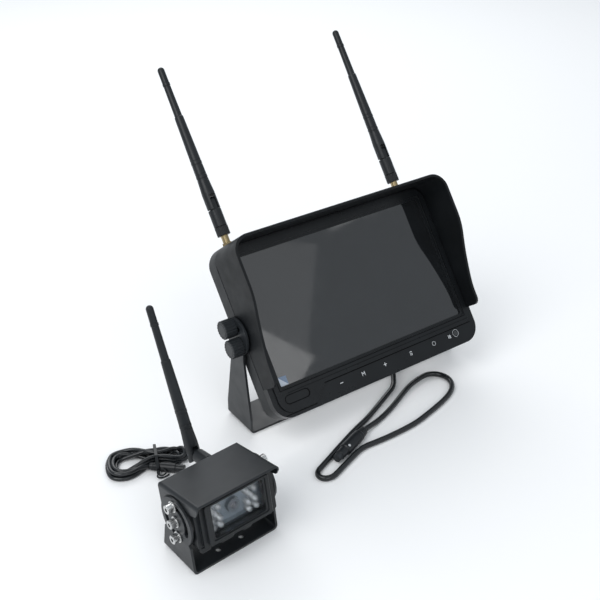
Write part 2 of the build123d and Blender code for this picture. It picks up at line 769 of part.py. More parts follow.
window_back = frame_front + 5.0
with BuildPart() as window_gasket:
    with BuildSketch(Plane.XZ.offset(-window_back)):
        with Locations((0, window_mid)):
            RectangleRounded(window_width + 7.6, window_height + 2.2, 1.8)
            RectangleRounded(window_width + 0.4, window_height - 0.2, 1.8, mode=Mode.SUBTRACT)
    extrude(amount=-0.6)
window_gasket.part.label = "window_gasket"
window_gasket.part.move(head_place)
export_step(window_gasket.part, "parts/window_gasket.step")

with BuildPart() as camera_window:
    with BuildSketch(Plane.XZ.offset(-window_back)):
        with Locations((0, window_mid)):
            RectangleRounded(window_width - 0.3, window_height - 0.3, 1.9)
    extrude(amount=3.2)
camera_window.part.label = "camera_window"
camera_window.part.move(head_place)
export_step(camera_window.part, "parts/camera_window.step")

board_front = window_back + 7.0
led_spots = [
    (side * (led_column + half * led_pitch / 2), window_mid + row)
    for side in (-1, 1)
    for half in (-1, 1)
    for row in led_rows
] + [(-led_column, window_mid), (led_column, window_mid)]
with BuildPart() as led_board:
    with BuildSketch(Plane.XZ.offset(-board_front)):
        with Locations((0, window_mid)):
            RectangleRounded(window_width + 7, window_height + 1.6, 1.5)
            Circle(6.3, mode=Mode.SUBTRACT)
    extrude(amount=-1.6)
    with BuildSketch(Plane.XZ.offset(-board_front)):
        with Locations((0, window_mid)):
            RectangleRounded(19, 24, 1)
            Circle(6.3, mode=Mode.SUBTRACT)
    extrude(amount=1.4)
led_board.part.label = "led_board"
led_board.part.move(head_place)
export_step(led_board.part, "parts/led_board.step")

with BuildPart() as infrared_leds:
    with BuildSketch(Plane.XZ.offset(-board_front)):
        with Locations(*led_spots):
            Circle(2.75)
    extrude(amount=0.9)
    with BuildSketch(Plane.XZ.offset(-board_front)):
        with Locations(*led_spots):
            Circle(2.5)
    extrude(amount=3.0)
    for x, z in led_spots:
        with Locations((x, board_front - 3.0, z)):
            Sphere(2.5)
infrared_leds.part.label = "infrared_leds"
infrared_leds.part.move(head_place)
export_step(infrared_leds.part, "parts/infrared_leds.step")

with BuildPart() as lens_barrel:
    with BuildSketch(Plane.YZ):
        with BuildLine():
            Polyline(
                (board_front + 6, 0), (board_front + 6, 6.2), (board_front - 1.2, 6.2),
                (board_front - 1.2, 5.4), (board_front - 4.6, 5.4), (board_front - 4.6, 3.6),
                (board_front - 3.4, 2.4), (board_front - 3.4, 0), close=True,
            )
        make_face()
    revolve(axis=Axis.Y)
lens_barrel.part.label = "lens_barrel"
lens_barrel.part.move(head_place * Location((0, 0, window_mid)))
export_step(lens_barrel.part, "parts/lens_barrel.step")

with BuildPart() as sensor_board:
    with BuildSketch(Plane.XZ.offset(-(board_front + 6))):
        with Locations((0, window_mid)):
            Rectangle(32, 30)
    extrude(amount=-1.6)
    with BuildSketch(Plane.XZ.offset(-(board_front + 7.6))):
        with Locations((-5, window_mid + 3)):
            Rectangle(12, 12)
        with Locations((11, window_mid - 6)):
            Rectangle(6, 9)
    extrude(amount=-2)
sensor_board.part.label = "sensor_board"
sensor_board.part.move(head_place)
export_step(sensor_board.part, "parts/sensor_board.step")

cover_back = rear_face + 3.0
with BuildPart() as camera_rear_cover:
    with BuildSketch(Plane.XZ.offset(-rear_face)):
        with Locations((0, head_mid)):
            RectangleRounded(2 * housing_half, head_height, 2.5)
    extrude(amount=-3)
    chamfer(camera_rear_cover.faces().sort_by(Axis.Y)[-1].edges(), 0.8)
    with BuildSketch(Plane.XZ.offset(-cover_back)):
        with Locations(*cover_spots):
            Circle(1.3)
        with Locations((socket_x, socket_z)):
            Circle(3.25)
        with Locations((camera_gland_x, camera_gland_z)):
            Circle(3.2)
    extrude(amount=3, mode=Mode.SUBTRACT)
camera_rear_cover.part.label = "camera_rear_cover"
camera_rear_cover.part.move(head_place)
export_step(camera_rear_cover.part, "parts/camera_rear_cover.step")

with BuildPart() as rear_cover_screws:
    with BuildSketch(Plane.XZ.offset(-cover_back)):
        with Locations(*cover_spots):
            Circle(2.4)
    extrude(amount=-1.6)
    with BuildSketch(Plane.XZ.offset(-cover_back)):
        with Locations(*cover_spots):
            Circle(1.25)
    extrude(amount=9)
    with BuildSketch(Plane.XZ.offset(-(cover_back + 1.6))):
        with Locations(*cover_spots):
            Rectangle(3, 0.7)
            Rectangle(0.7, 3)
    extrude(amount=0.9, mode=Mode.SUBTRACT)
rear_cover_screws.part.label = "rear_cover_screws"
rear_cover_screws.part.move(head_place)
export_step(rear_cover_screws.part, "parts/rear_cover_screws.step")

# ---------------------------------------------------------------- camera hood
hood_half = 36.4
hood_sheet = 1.5
hood_top = 22.9
hood_front = -29.1
hood_back = 21.8

with BuildPart() as camera_hood:
    with BuildSketch(Plane.XZ.offset(-hood_front)) as hood_outside:
        with Locations((0, (hood_top - 60) / 2)):
            Rectangle(2 * hood_half, hood_top + 60)
        fillet(hood_outside.vertices().group_by(Axis.Y)[-1], 3)
    extrude(amount=hood_front - hood_back)
    with BuildSketch(Plane.XZ.offset(-hood_front)) as hood_inside:
        with Locations((0, (hood_top - hood_sheet - 60) / 2)):
            Rectangle(2 * (hood_half - hood_sheet) + 0.5, hood_top - hood_sheet + 60)
        fillet(hood_inside.vertices().group_by(Axis.Y)[-1], 1.6)
    extrude(amount=hood_front - hood_back, mode=Mode.SUBTRACT)
    with BuildSketch(Plane.YZ) as hood_side:
        with BuildLine():
            Polyline(
                (hood_front, hood_top), (hood_front, 19), (-26.2, 14.6), (-20, 13), (-16, 13),
                (16, 1), (hood_back, 1), (hood_back, hood_top), close=True,
            )
        make_face()
        fillet(hood_side.vertices().group_by(Axis.Y)[-1].sort_by(Axis.X)[0], 1.2)
        fillet(hood_side.vertices().group_by(Axis.Y)[-1].sort_by(Axis.X)[-1], 1.2)
    extrude(amount=hood_half, both=True, mode=Mode.INTERSECT)
    for side in (-1, 1):
        with BuildSketch(Plane.YZ.offset(side * (hood_half + 1))):
            Circle(boss_radius + 0.4)
        extrude(amount=-side * 3.2, mode=Mode.SUBTRACT)
camera_hood.part.label = "camera_hood"
camera_hood.part.move(head_place)
export_step(camera_hood.part, "parts/camera_hood.step")

# ---------------------------------------------------------------- side screws and washers
washer_in = camera_half + joint_gap
flat_washer = 0.9
spring_washer = 1.0
screw_seat = washer_in + flat_washer + spring_washer

with BuildPart() as side_washers:
    for side in (-1, 1):
        with BuildSketch(Plane.YZ.offset(side * washer_in)):
            with Locations(*screw_spots):
                Circle(4.5)
        extrude(amount=side * flat_washer)
        with BuildSketch(Plane.YZ.offset(side * (washer_in + flat_washer))):
            with Locations(*screw_spots):
                Circle(3.6)
        extrude(amount=side * spring_washer)
        with BuildSketch(Plane.YZ.offset(side * washer_in)):
            with Locations(*screw_spots):
                Circle(2 + running_gap)
        extrude(amount=side * 3, mode=Mode.SUBTRACT)
side_washers.part.label = "side_washers"
side_washers.part.move(head_place)
export_step(side_washers.part, "parts/side_washers.step")

with BuildPart() as side_screws:
    for side in (-1, 1):
        with BuildSketch(Plane.YZ.offset(side * screw_seat)):
            with Locations(*screw_spots):
                Circle(3.5)
        extrude(amount=side * 4)
        outer_faces = side_screws.faces().sort_by(Axis.X, reverse=side > 0)[:3]
        chamfer([edge for face in outer_faces for edge in face.edges()], 0.3)
        with BuildSketch(Plane.YZ.offset(side * screw_seat)):
            with Locations(*screw_spots):
                Circle(2)
        extrude(amount=-side * (screw_seat - 28.4))
        with BuildSketch(Plane.YZ.offset(side * (screw_seat + 4))):
            with Locations(*screw_spots):
                RegularPolygon(1.5, 6, major_radius=False)
        extrude(amount=-side * 2.2, mode=Mode.SUBTRACT)
side_screws.part.label = "side_screws"
side_screws.part.move(head_place)
export_step(side_screws.part, "parts/side_screws.step")

# ---------------------------------------------------------------- camera antenna socket and cord entry
with BuildPart() as camera_antenna_socket:
    with BuildSketch(Plane.XZ.offset(-(cover_back))):
        with Locations((socket_x, socket_z)):
            RegularPolygon(4.0, 6, major_radius=False)
    extrude(amount=-1.7)
    with BuildSketch(Plane.XZ.offset(-(rear_face - 3))):
        with Locations((socket_x, socket_z)):
            Circle(3.15)
    extrude(amount=-(cover_back + 8 - rear_face))
    with BuildSketch(Plane.XZ.offset(-(rear_face - 3))):
        with Locations((socket_x, socket_z)):
            Circle(4.4)
    extrude(amount=-3)
    with BuildSketch(Plane.XZ.offset(-(cover_back + 5))):
        with Locations((socket_x, socket_z)):
            Circle(1.5)
    extrude(amount=-4, mode=Mode.SUBTRACT)
camera_antenna_socket.part.label = "camera_antenna_socket"
camera_antenna_socket.part.move(head_place)
export_step(camera_antenna_socket.part, "parts/camera_antenna_socket.step")

camera_gland_length = 7.0
with BuildPart() as camera_lead_gland:
    with BuildSketch(Plane.XY):
        with BuildLine():
            Polyline(
                *strain_relief(cover_back, 3, 4.2, 3.15, 2.5, lead_diameter / 2, camera_gland_length),
                close=True,
            )
        make_face()
    revolve(axis=Axis.Y)
camera_lead_gland.part.label = "camera_lead_gland"
camera_lead_gland.part.move(head_place * Location((camera_gland_x, 0, camera_gland_z)))
export_step(camera_lead_gland.part, "parts/camera_lead_gland.step")

# ---------------------------------------------------------------- cords
def corner_radii(points):
    """Return one radius for each inner point of a route: as large as its two runs allow."""
    radii = []
    for before, here, after in zip(points, points[1:], points[2:]):
        first, second = Vector(*here) - Vector(*before), Vector(*after) - Vector(*here)
        half_turn = radians(first.get_angle(second)) / 2
        radii.append(0.45 * min(first.length, second.length) / tan(half_turn))
    return radii


def cord_tube(points, diameter, name):
    """Return a tube along straight runs and tangent arcs, and print how tight and how long it is."""
    radii = corner_radii(points)
    path = FilletPolyline(*points, radius=radii)
    profile = Plane(origin=path @ 0, z_dir=path % 0) * Circle(diameter / 2)
    tube = sweep(profile, path=path)
    section = pi * diameter**2 / 4
    print(name, "length", round(path.length, 1), "radii", [round(radius, 1) for radius in radii])
    print(name, "volume", round(tube.volume), "section times length", round(section * path.length))
    return Part(tube.wrapped)


floor_gap = 0.05
pigtail_z = pigtail_diameter / 2 + floor_gap
lead_z = lead_diameter / 2 + floor_gap

# From the case's cord entry, down over the bracket's front edge, along the floor to the left, round the
# fold, back to the right, round the loop and to the connector.
pigtail_drop = [
    (58, -17.5, 28.45), (58, -9.6, 22.0), (56.5, -4.0, 14.0), (51.5, -6.5, 8.6), (43.5, -15.5, 8.0),
    (36.5, -26.0, 6.4),
]
pigtail_floor = [
    (28.5, -37.0), (15.0, -43.5), (-2.0, -51.5), (-21.0, -60.3), (-39.0, -66.4), (-57.0, -73.8),
    (-74.5, -81.4), (-84.0, -85.6), (-91.6, -88.8), (-97.8, -91.6), (-101.0, -97.0), (-97.8, -102.6),
    (-91.2, -104.0), (-84.0, -101.6), (-74.5, -97.8), (-63.0, -93.6), (-49.0, -88.6), (-31.0, -90.2),
    (-10.0, -90.6), (10.0, -89.6), (29.0, -85.2), (47.0, -80.6), (62.5, -75.2), (73.5, -67.0),
    (78.0, -56.5), (74.5, -46.0), (65.5, -40.3), (53.5, -41.6), (41.0, -44.6), (27.0, -50.7),
    (13.0, -57.6), (-1.0, -63.6), (-16.0, -68.6), (-27.0, -71.3),
]
connector_start = (-35.4, -74.2, 5.3)
connector_heading = -159.1

last_drop, first_floor = Vector(*pigtail_drop[-1]), Vector(*pigtail_floor[0], pigtail_z)
halfway = (last_drop + first_floor) / 2
pigtail_slack = cord_tube(pigtail_drop + [tuple(halfway)], pigtail_diameter, "pigtail_slack")
pigtail_slack.label = "pigtail_slack"
export_step(pigtail_slack, "parts/pigtail_slack.step")

lead_points = [tuple(halfway)] + [(x, y, pigtail_z) for x, y in pigtail_floor[:-1]]
lead_points += [(*pigtail_floor[-1], 3.9), (*connector_start[:2], connector_start[2] - 0.2)]
pigtail_lead = cord_tube(lead_points, pigtail_diameter, "pigtail_lead")
pigtail_lead.label = "pigtail_lead"
export_step(pigtail_lead, "parts/pigtail_lead.step")

connector_place = Location(connector_start, (0, 0, connector_heading))
with BuildPart() as pigtail_connector:
    with BuildSketch(Plane.XY):
        with BuildLine():
            Polyline(
                (0.4, 0), (0.4, 3.2), (1, 3.6), (8, 4.6), (8.6, 5.1), (11.5, 5.1), (12, 5.25), (31.5, 5.25),
                (32.4, 4.5), (32.4, 4.25), (40, 4.25), (40.4, 3.9), (40.4, 0), close=True,
            )
        make_face()
    revolve(axis=Axis.X)
    for ring in (2.4, 4.4, 6.4):
        with BuildSketch(Plane.YZ.offset(ring)):
            Circle(6)
            Circle(3.3 + 0.14 * ring, mode=Mode.SUBTRACT)
        extrude(amount=0.8, mode=Mode.SUBTRACT)
pigtail_connector.part.label = "pigtail_connector"
pigtail_connector.part.move(connector_place)
export_step(pigtail_connector.part, "parts/pigtail_connector.step")

with BuildPart() as pigtail_tip:
    with BuildSketch(Plane.YZ.offset(40.4)):
        Circle(3.5)
    extrude(amount=4.6)
    with BuildSketch(Plane.YZ.offset(45)):
        with PolarLocations(1.9, 4):
            Circle(0.45)
    extrude(amount=-3, mode=Mode.SUBTRACT)
pigtail_tip.part.label = "pigtail_tip"
pigtail_tip.part.move(connector_place)
export_step(pigtail_tip.part, "parts/pigtail_tip.step")

# From the camera's cord entry, back and down to the floor, to the right-hand end of the hank.
gland_tip = Location((camera_gland_x, cover_back + camera_gland_length, camera_gland_z))
gland_end = (head_place * gland_tip).position
camera_drop = [
    (gland_end.X, gland_end.Y, gland_end.Z), (-219.0, -70.5, 25.6), (-217.0, -58.5, 19.5),
    (-208.5, -48.0, 12.0), (-197.0, -41.5, 5.6), (-184.5, -38.0, lead_z), (-173.5, -32.0, lead_z),
    (-167.6, -22.5, lead_z), (-168.2, -12.5, lead_z),
]
camera_lead_slack = cord_tube(camera_drop, lead_diameter, "camera_lead_slack")
camera_lead_slack.label = "camera_lead_slack"
export_step(camera_lead_slack, "parts/camera_lead_slack.step")

# Hank (local frame: +X along it towards the camera's side, resting on the floor)
hank_place = Location((-206, -2, 0), (0, 0, -22))
hank_half = 35.0
hank_height = 11.6
tie_x = 7.0
with BuildPart() as camera_lead_hank:
    with BuildSketch(Plane.XY) as hank_outline:
        with BuildLine():
            Polyline(
                (-0.6, -1.6), (tie_x - 1.5, -3.7), (tie_x + 1.5, -3.7), (18, -7.8), (hank_half, -8),
                (hank_half, 9), (20, 10.5), (tie_x + 1.5, 8.2), (tie_x - 1.5, 8.2), (-12, 18),
                (-hank_half, 15), (-hank_half, -13), (-14, -17), (-2.6, -10.5), close=True,
            )
        make_face()
        fillet(hank_outline.vertices().group_by(Axis.X)[0], 12)
        fillet(hank_outline.vertices().group_by(Axis.X)[-1], 7)
    extrude(amount=hank_height)
    fillet(camera_lead_hank.faces().filter_by(Axis.Z).edges(), 1.5)
camera_lead_hank.part.label = "camera_lead_hank"
camera_lead_hank.part.move(hank_place)
export_step(camera_lead_hank.part, "parts/camera_lead_hank.step")

tie_width = 2.4
with BuildPart() as hank_tie:
    with BuildSketch(Plane.YZ.offset(tie_x - tie_width / 2)):
        with BuildLine():
            Polyline(
                (9.4, 0.1), (9.4, hank_height + 1.1), (-4.9, hank_height + 1.1), (-14.7, 7.6), (-14.7, 0.1),
                (-13.7, 0.1), (-13.7, 7.0), (-4.6, hank_height + 0.1), (8.4, hank_height + 0.1), (8.4, 0.1),
                close=True,
            )
        make_face()
    extrude(amount=tie_width)
hank_tie.part.label = "hank_tie"
hank_tie.part.move(hank_place)
export_step(hank_tie.part, "parts/hank_tie.step")

plug_radius = 4.0
plug_place = hank_place * Location((0.5, -6.6, plug_radius + floor_gap), (0, 0, -20))
with BuildPart() as camera_lead_connector:
    with BuildSketch(Plane.XY):
        with BuildLine():
            Polyline(
                (0, 0), (0, 2.6), (1, 3.2), (10, plug_radius), (22, plug_radius), (22.6, 3.3), (29.5, 3.3),
                (30, 2.9), (30, 0), close=True,
            )
        make_face()
    revolve(axis=Axis.X)
    for ring in (3.6, 5.4, 7.2, 9.0):
        with BuildSketch(Plane.YZ.offset(ring)):
            Circle(plug_radius + 1)
            Circle(2.9 + 0.05 * ring, mode=Mode.SUBTRACT)
        extrude(amount=0.8, mode=Mode.SUBTRACT)
camera_lead_connector.part.label = "camera_lead_connector"
camera_lead_connector.part.move(plug_place)
export_step(camera_lead_connector.part, "parts/camera_lead_connector.step")
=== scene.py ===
"""Looks for the wireless backup camera kit: finishes, cords, printed marks, light and camera.

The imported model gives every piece's shape and place. This script dresses those pieces, makes the two
cords as smooth tubes, and adds the small things that only the eye needs. Lengths are in metres.
"""

import json
import logging
import math
from dataclasses import dataclass, field
from enum import Enum

import bpy
from mathutils import Matrix, Vector

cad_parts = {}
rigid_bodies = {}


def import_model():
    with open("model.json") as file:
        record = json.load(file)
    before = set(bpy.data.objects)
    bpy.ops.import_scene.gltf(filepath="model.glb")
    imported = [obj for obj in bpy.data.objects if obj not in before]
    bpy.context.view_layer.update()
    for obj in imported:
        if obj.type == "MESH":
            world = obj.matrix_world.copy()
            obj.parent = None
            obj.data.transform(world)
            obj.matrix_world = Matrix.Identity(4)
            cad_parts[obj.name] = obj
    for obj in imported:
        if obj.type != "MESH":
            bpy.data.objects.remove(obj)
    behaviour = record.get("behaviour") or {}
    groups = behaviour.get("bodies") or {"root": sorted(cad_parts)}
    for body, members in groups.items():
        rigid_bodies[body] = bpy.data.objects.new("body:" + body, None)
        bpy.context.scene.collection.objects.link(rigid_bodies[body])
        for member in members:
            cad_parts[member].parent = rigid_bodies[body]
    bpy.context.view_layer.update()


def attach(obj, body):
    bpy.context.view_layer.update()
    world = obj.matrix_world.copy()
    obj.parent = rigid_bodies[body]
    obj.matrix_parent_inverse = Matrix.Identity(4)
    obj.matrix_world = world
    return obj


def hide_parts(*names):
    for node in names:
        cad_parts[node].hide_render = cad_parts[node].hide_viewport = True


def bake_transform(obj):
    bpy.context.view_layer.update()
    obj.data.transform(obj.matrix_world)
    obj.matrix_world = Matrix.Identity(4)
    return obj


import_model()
LOG = logging.getLogger("kit")
MM = 0.001
Outline = list[tuple[float, float]]
Faces = list[tuple[int, ...]]


class Grain(Enum):
    """How the surface of a finish is broken up."""

    SMOOTH = "smooth"
    SPARK = "spark"
    POWDER = "powder"
    BRUSHED = "brushed"
    BOARD = "board"


@dataclass(frozen=True)
class Finish:
    """A finish: its colours, its gloss and the grain of its surface."""

    name: str
    colour: tuple[float, float, float]
    second: tuple[float, float, float]
    roughness: float
    roughness_spread: float = 0.06
    metallic: float = 0.0
    grain: Grain = Grain.SPARK
    grain_scale: float = 1600.0
    grain_height: float = 0.00002
    coat: float = 0.0
    coat_roughness: float = 0.1
    transmission: float = 0.0
    ior: float = 1.48
    edge: float = 0.0
    alpha: float = 1.0
    specular: float = 0.5

    def material(self) -> bpy.types.Material:
        """Build the node material once and return it.

        Returns:
            The material, made on the first call and found by name after that.
        """
        found = bpy.data.materials.get(self.name)
        if found:
            return found
        made = bpy.data.materials.new(self.name)
        made.use_nodes = True
        tree = made.node_tree
        shader = tree.nodes["Principled BSDF"]
        shader.inputs["Metallic"].default_value = self.metallic
        shader.inputs["IOR"].default_value = self.ior
        shader.inputs["Coat Weight"].default_value = self.coat
        shader.inputs["Coat Roughness"].default_value = self.coat_roughness
        shader.inputs["Transmission Weight"].default_value = self.transmission
        shader.inputs["Alpha"].default_value = self.alpha
        shader.inputs["Specular IOR Level"].default_value = self.specular
        place = tree.nodes.new("ShaderNodeTexCoord").outputs["Object"]
        self._colour(tree, place, shader)
        self._gloss(tree, place, shader)
        self._relief(tree, place, shader)
        return made

    def _noise(self, tree: bpy.types.NodeTree, place: bpy.types.NodeSocket, scale: float, detail: float,
               stretch: tuple[float, float, float] = (1.0, 1.0, 1.0)) -> bpy.types.NodeSocket:
        """Add a noise texture.

        Args:
            tree: The node tree that it is added to.
            place: The coordinate socket that it reads.
            scale: Features per metre.
            detail: Octaves of finer noise.
            stretch: Scale of the coordinates along each axis.

        Returns:
            The noise's value socket.
        """
        mapping = tree.nodes.new("ShaderNodeMapping")
        mapping.inputs["Scale"].default_value = stretch
        noise = tree.nodes.new("ShaderNodeTexNoise")
        noise.inputs["Scale"].default_value = scale
        noise.inputs["Detail"].default_value = detail
        tree.links.new(place, mapping.inputs["Vector"])
        tree.links.new(mapping.outputs["Vector"], noise.inputs["Vector"])
        return noise.outputs["Fac"]

    def _ramp(self, tree: bpy.types.NodeTree, value: bpy.types.NodeSocket, low: tuple[float, float, float],
              high: tuple[float, float, float], start: float, stop: float) -> bpy.types.NodeSocket:
        """Map a value to a run between two colours.

        Args:
            tree: The node tree that the ramp is added to.
            value: The socket that is mapped.
            low: Colour up to start.
            high: Colour from stop.
            start: Value where the run begins.
            stop: Value where the run ends.

        Returns:
            The ramp's colour socket.
        """
        ramp = tree.nodes.new("ShaderNodeValToRGB")
        first, last = ramp.color_ramp.elements
        first.position, last.position = start, stop
        first.color, last.color = (*low, 1), (*high, 1)
        tree.links.new(value, ramp.inputs["Fac"])
        return ramp.outputs["Color"]

    def _colour(self, tree: bpy.types.NodeTree, place: bpy.types.NodeSocket,
                shader: bpy.types.ShaderNode) -> None:
        """Give the shader its colour, mottled between the finish's two colours.

        Args:
            tree: The material's node tree.
            place: The coordinate socket.
            shader: The shader that gets the colour.
        """
        patches_per_metre = 220.0 if self.grain is Grain.BOARD else 38.0
        patches = self._noise(tree, place, patches_per_metre, 5.0)
        mottle = self._ramp(tree, patches, self.colour, self.second, 0.38, 0.66)
        tree.links.new(mottle, shader.inputs["Base Color"])

    def _gloss(self, tree: bpy.types.NodeTree, place: bpy.types.NodeSocket,
               shader: bpy.types.ShaderNode) -> None:
        """Give the shader a roughness that wanders round the finish's own.

        Args:
            tree: The material's node tree.
            place: The coordinate socket.
            shader: The shader that gets the roughness.
        """
        handling = self._noise(tree, place, 90.0, 4.0)
        spread = tree.nodes.new("ShaderNodeMapRange")
        spread.inputs["From Min"].default_value = 0.3
        spread.inputs["From Max"].default_value = 0.7
        spread.inputs["To Min"].default_value = max(0.0, self.roughness - self.roughness_spread)
        spread.inputs["To Max"].default_value = self.roughness + self.roughness_spread
        tree.links.new(handling, spread.inputs["Value"])
        tree.links.new(spread.outputs["Result"], shader.inputs["Roughness"])

    def _relief(self, tree: bpy.types.NodeTree, place: bpy.types.NodeSocket,
                shader: bpy.types.ShaderNode) -> None:
        """Give the shader its fine relief, and a soft edge where the finish has one.

        Args:
            tree: The material's node tree.
            place: The coordinate socket.
            shader: The shader that gets the normal.
        """
        normal = None
        if self.edge:
            soft = tree.nodes.new("ShaderNodeBevel")
            soft.samples = 4
            soft.inputs["Radius"].default_value = self.edge
            normal = soft.outputs["Normal"]
        if self.grain is not Grain.SMOOTH:
            stretch = (0.04, 1.0, 1.0) if self.grain is Grain.BRUSHED else (1.0, 1.0, 1.0)
            detail = 2.0 if self.grain is Grain.SPARK else 5.0
            bump = tree.nodes.new("ShaderNodeBump")
            bump.inputs["Distance"].default_value = self.grain_height
            bump.inputs["Strength"].default_value = 0.6
            fine = self._noise(tree, place, self.grain_scale, detail, stretch)
            tree.links.new(fine, bump.inputs["Height"])
            if normal:
                tree.links.new(normal, bump.inputs["Normal"])
            normal = bump.outputs["Normal"]
        if normal:
            tree.links.new(normal, shader.inputs["Normal"])


def grey(value: float, cool: float = 0.16) -> tuple[float, float, float]:
    """Return a slightly blue grey.

    Args:
        value: Its middle channel.
        cool: How far red falls short of the middle channel, and blue passes it, as a share of it.

    Returns:
        The colour.
    """
    return (value * (1 - cool), value, value * (1 + cool))


@dataclass(frozen=True)
class Finishes:
    bracket: Finish = Finish("black powder coat", grey(0.014), grey(0.019), 0.40, 0.05, grain=Grain.POWDER,
                             grain_scale=1100, grain_height=0.00003, edge=0.0005, specular=0.42)
    case: Finish = Finish("textured black case", grey(0.009), grey(0.012), 0.45, 0.05, grain_scale=2200,
                          grain_height=0.00002, edge=0.0004, specular=0.27)
    visor: Finish = Finish("matt visor", grey(0.006), grey(0.009), 0.48, 0.05, grain_scale=2300,
                           grain_height=0.00002, edge=0.0003, specular=0.22)
    bezel: Finish = Finish("satin black bezel", grey(0.007), grey(0.009), 0.30, 0.04, grain_scale=2600,
                           grain_height=0.000006, edge=0.0003, specular=0.28)
    # Painted shade: a near-black finish for thin lines laid where steps and recess edges fall into shade.
    gap: Finish = Finish("painted shade line", grey(0.0015), grey(0.002), 0.7, grain=Grain.SMOOTH, specular=0.05)
    screen: Finish = Finish("dark screen glass", grey(0.006), grey(0.008), 0.045, 0.02, grain=Grain.SMOOTH,
                            ior=1.52, specular=0.95)
    panel: Finish = Finish("panel backing", grey(0.05), grey(0.06), 0.5)
    steel: Finish = Finish("bright zinc steel", (0.62, 0.62, 0.61), (0.50, 0.50, 0.50), 0.26, 0.08, 1.0,
                           Grain.BRUSHED, 2400, 0.00001, edge=0.0002)
    dark_steel: Finish = Finish("black pin steel", grey(0.04), grey(0.06), 0.32, 0.06, 0.6, edge=0.0002)
    brass: Finish = Finish("gilded brass", (0.34, 0.27, 0.15), (0.26, 0.20, 0.11), 0.26, 0.07, 1.0,
                           Grain.BRUSHED, 2600, 0.00001, edge=0.0002)
    green_board: Finish = Finish("green board", (0.010, 0.09, 0.035), (0.014, 0.15, 0.055), 0.35, 0.08,
                                 grain=Grain.BOARD, grain_scale=700, grain_height=0.00004)
    grey_board: Finish = Finish("grey light board", grey(0.20), grey(0.26), 0.42, 0.06, grain=Grain.BOARD,
                                grain_scale=900, grain_height=0.00003)
    rubber: Finish = Finish("soft rubber", grey(0.014), grey(0.022), 0.55, 0.08, grain_scale=1800,
                            grain_height=0.00003, edge=0.0003)
    jacket: Finish = Finish("cord jacket", grey(0.009), grey(0.012), 0.22, 0.05, grain_scale=1500,
                            grain_height=0.00001, specular=0.5)
    connector: Finish = Finish("moulded connector", grey(0.009), grey(0.012), 0.34, 0.05, grain_scale=2000,
                               grain_height=0.000015, edge=0.0003, specular=0.36)
    knob: Finish = Finish("moulded knob", grey(0.015), grey(0.020), 0.42, 0.05, grain_scale=1900,
                          grain_height=0.00002, edge=0.0003, specular=0.4)
    antenna: Finish = Finish("satin antenna sleeve", grey(0.010), grey(0.014), 0.36, 0.05, grain_scale=2000,
                             grain_height=0.000015, edge=0.0003, specular=0.34)
    camera: Finish = Finish("painted casting", grey(0.009), grey(0.012), 0.38, 0.06, grain=Grain.POWDER,
                            grain_scale=1300, grain_height=0.00003, edge=0.0003, specular=0.32)
    hood: Finish = Finish("painted hood sheet", grey(0.013), grey(0.017), 0.36, 0.05, grain=Grain.POWDER,
                          grain_scale=1200, grain_height=0.00002, edge=0.0003, specular=0.36)
    clear: Finish = Finish("clear window glass", (0.93, 0.96, 0.97), (0.96, 0.98, 0.98), 0.02, 0.01,
                           grain=Grain.SMOOTH, transmission=1.0, ior=1.2, alpha=0.3)
    led: Finish = Finish("clear light resin", (0.82, 0.85, 0.88), (0.90, 0.92, 0.94), 0.05, 0.02,
                         grain=Grain.SMOOTH, transmission=0.7, ior=1.5)
    lens: Finish = Finish("grey lens barrel", grey(0.11), grey(0.14), 0.32, 0.05, edge=0.0002)
    coated: Finish = Finish("coated lens glass", (0.030, 0.026, 0.045), (0.022, 0.030, 0.050), 0.05, 0.02,
                            grain=Grain.SMOOTH, coat=1.0, coat_roughness=0.01, ior=1.7)
    print_white: Finish = Finish("white print", (0.62, 0.64, 0.66), (0.70, 0.72, 0.73), 0.45)
    film: Finish = Finish("blue film tab", (0.10, 0.16, 0.25), (0.14, 0.20, 0.30), 0.22, 0.05, coat=0.4)
    film_back: Finish = Finish("pale film fold", (0.42, 0.48, 0.56), (0.50, 0.55, 0.62), 0.3, 0.05,
                               coat=0.3)


FINISHES = Finishes()


def dress(finish: Finish, *nodes: str) -> None:
    """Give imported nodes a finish.

    Args:
        finish: The finish.
        nodes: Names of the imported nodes.
    """
    for node in nodes:
        piece = bpy.data.objects[node]
        piece.data.materials.clear()
        piece.data.materials.append(finish.material())
        LOG.info("%s dressed in %s", node, finish.name)


def put(name: str, vertices: list[Vector], faces: Faces, finish: Finish, body: str | None, slot: str,
        smooth: bool = True) -> bpy.types.Object:
    """Add a mesh piece that rides on a body.

    Args:
        name: Name of the piece.
        vertices: Points in metres, in the shared frame.
        faces: Lists of point numbers.
        finish: The piece's finish.
        body: Body that it rides on, or None for a piece left on no body, such as a cord that runs between
            two.
        slot: Material slot of the record that it takes; not used.
        smooth: Whether its faces are shaded smooth.

    Returns:
        The new object.
    """
    mesh = bpy.data.meshes.new(name)
    mesh.from_pydata([tuple(v) for v in vertices], [], faces)
    mesh.polygons.foreach_set("use_smooth", [smooth] * len(mesh.polygons))
    mesh.materials.append(finish.material())
    piece = bpy.data.objects.new(name, mesh)
    bpy.context.scene.collection.objects.link(piece)
    if body:
        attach(piece, body)
    LOG.info("%s made with %d faces", name, len(mesh.polygons))
    return piece


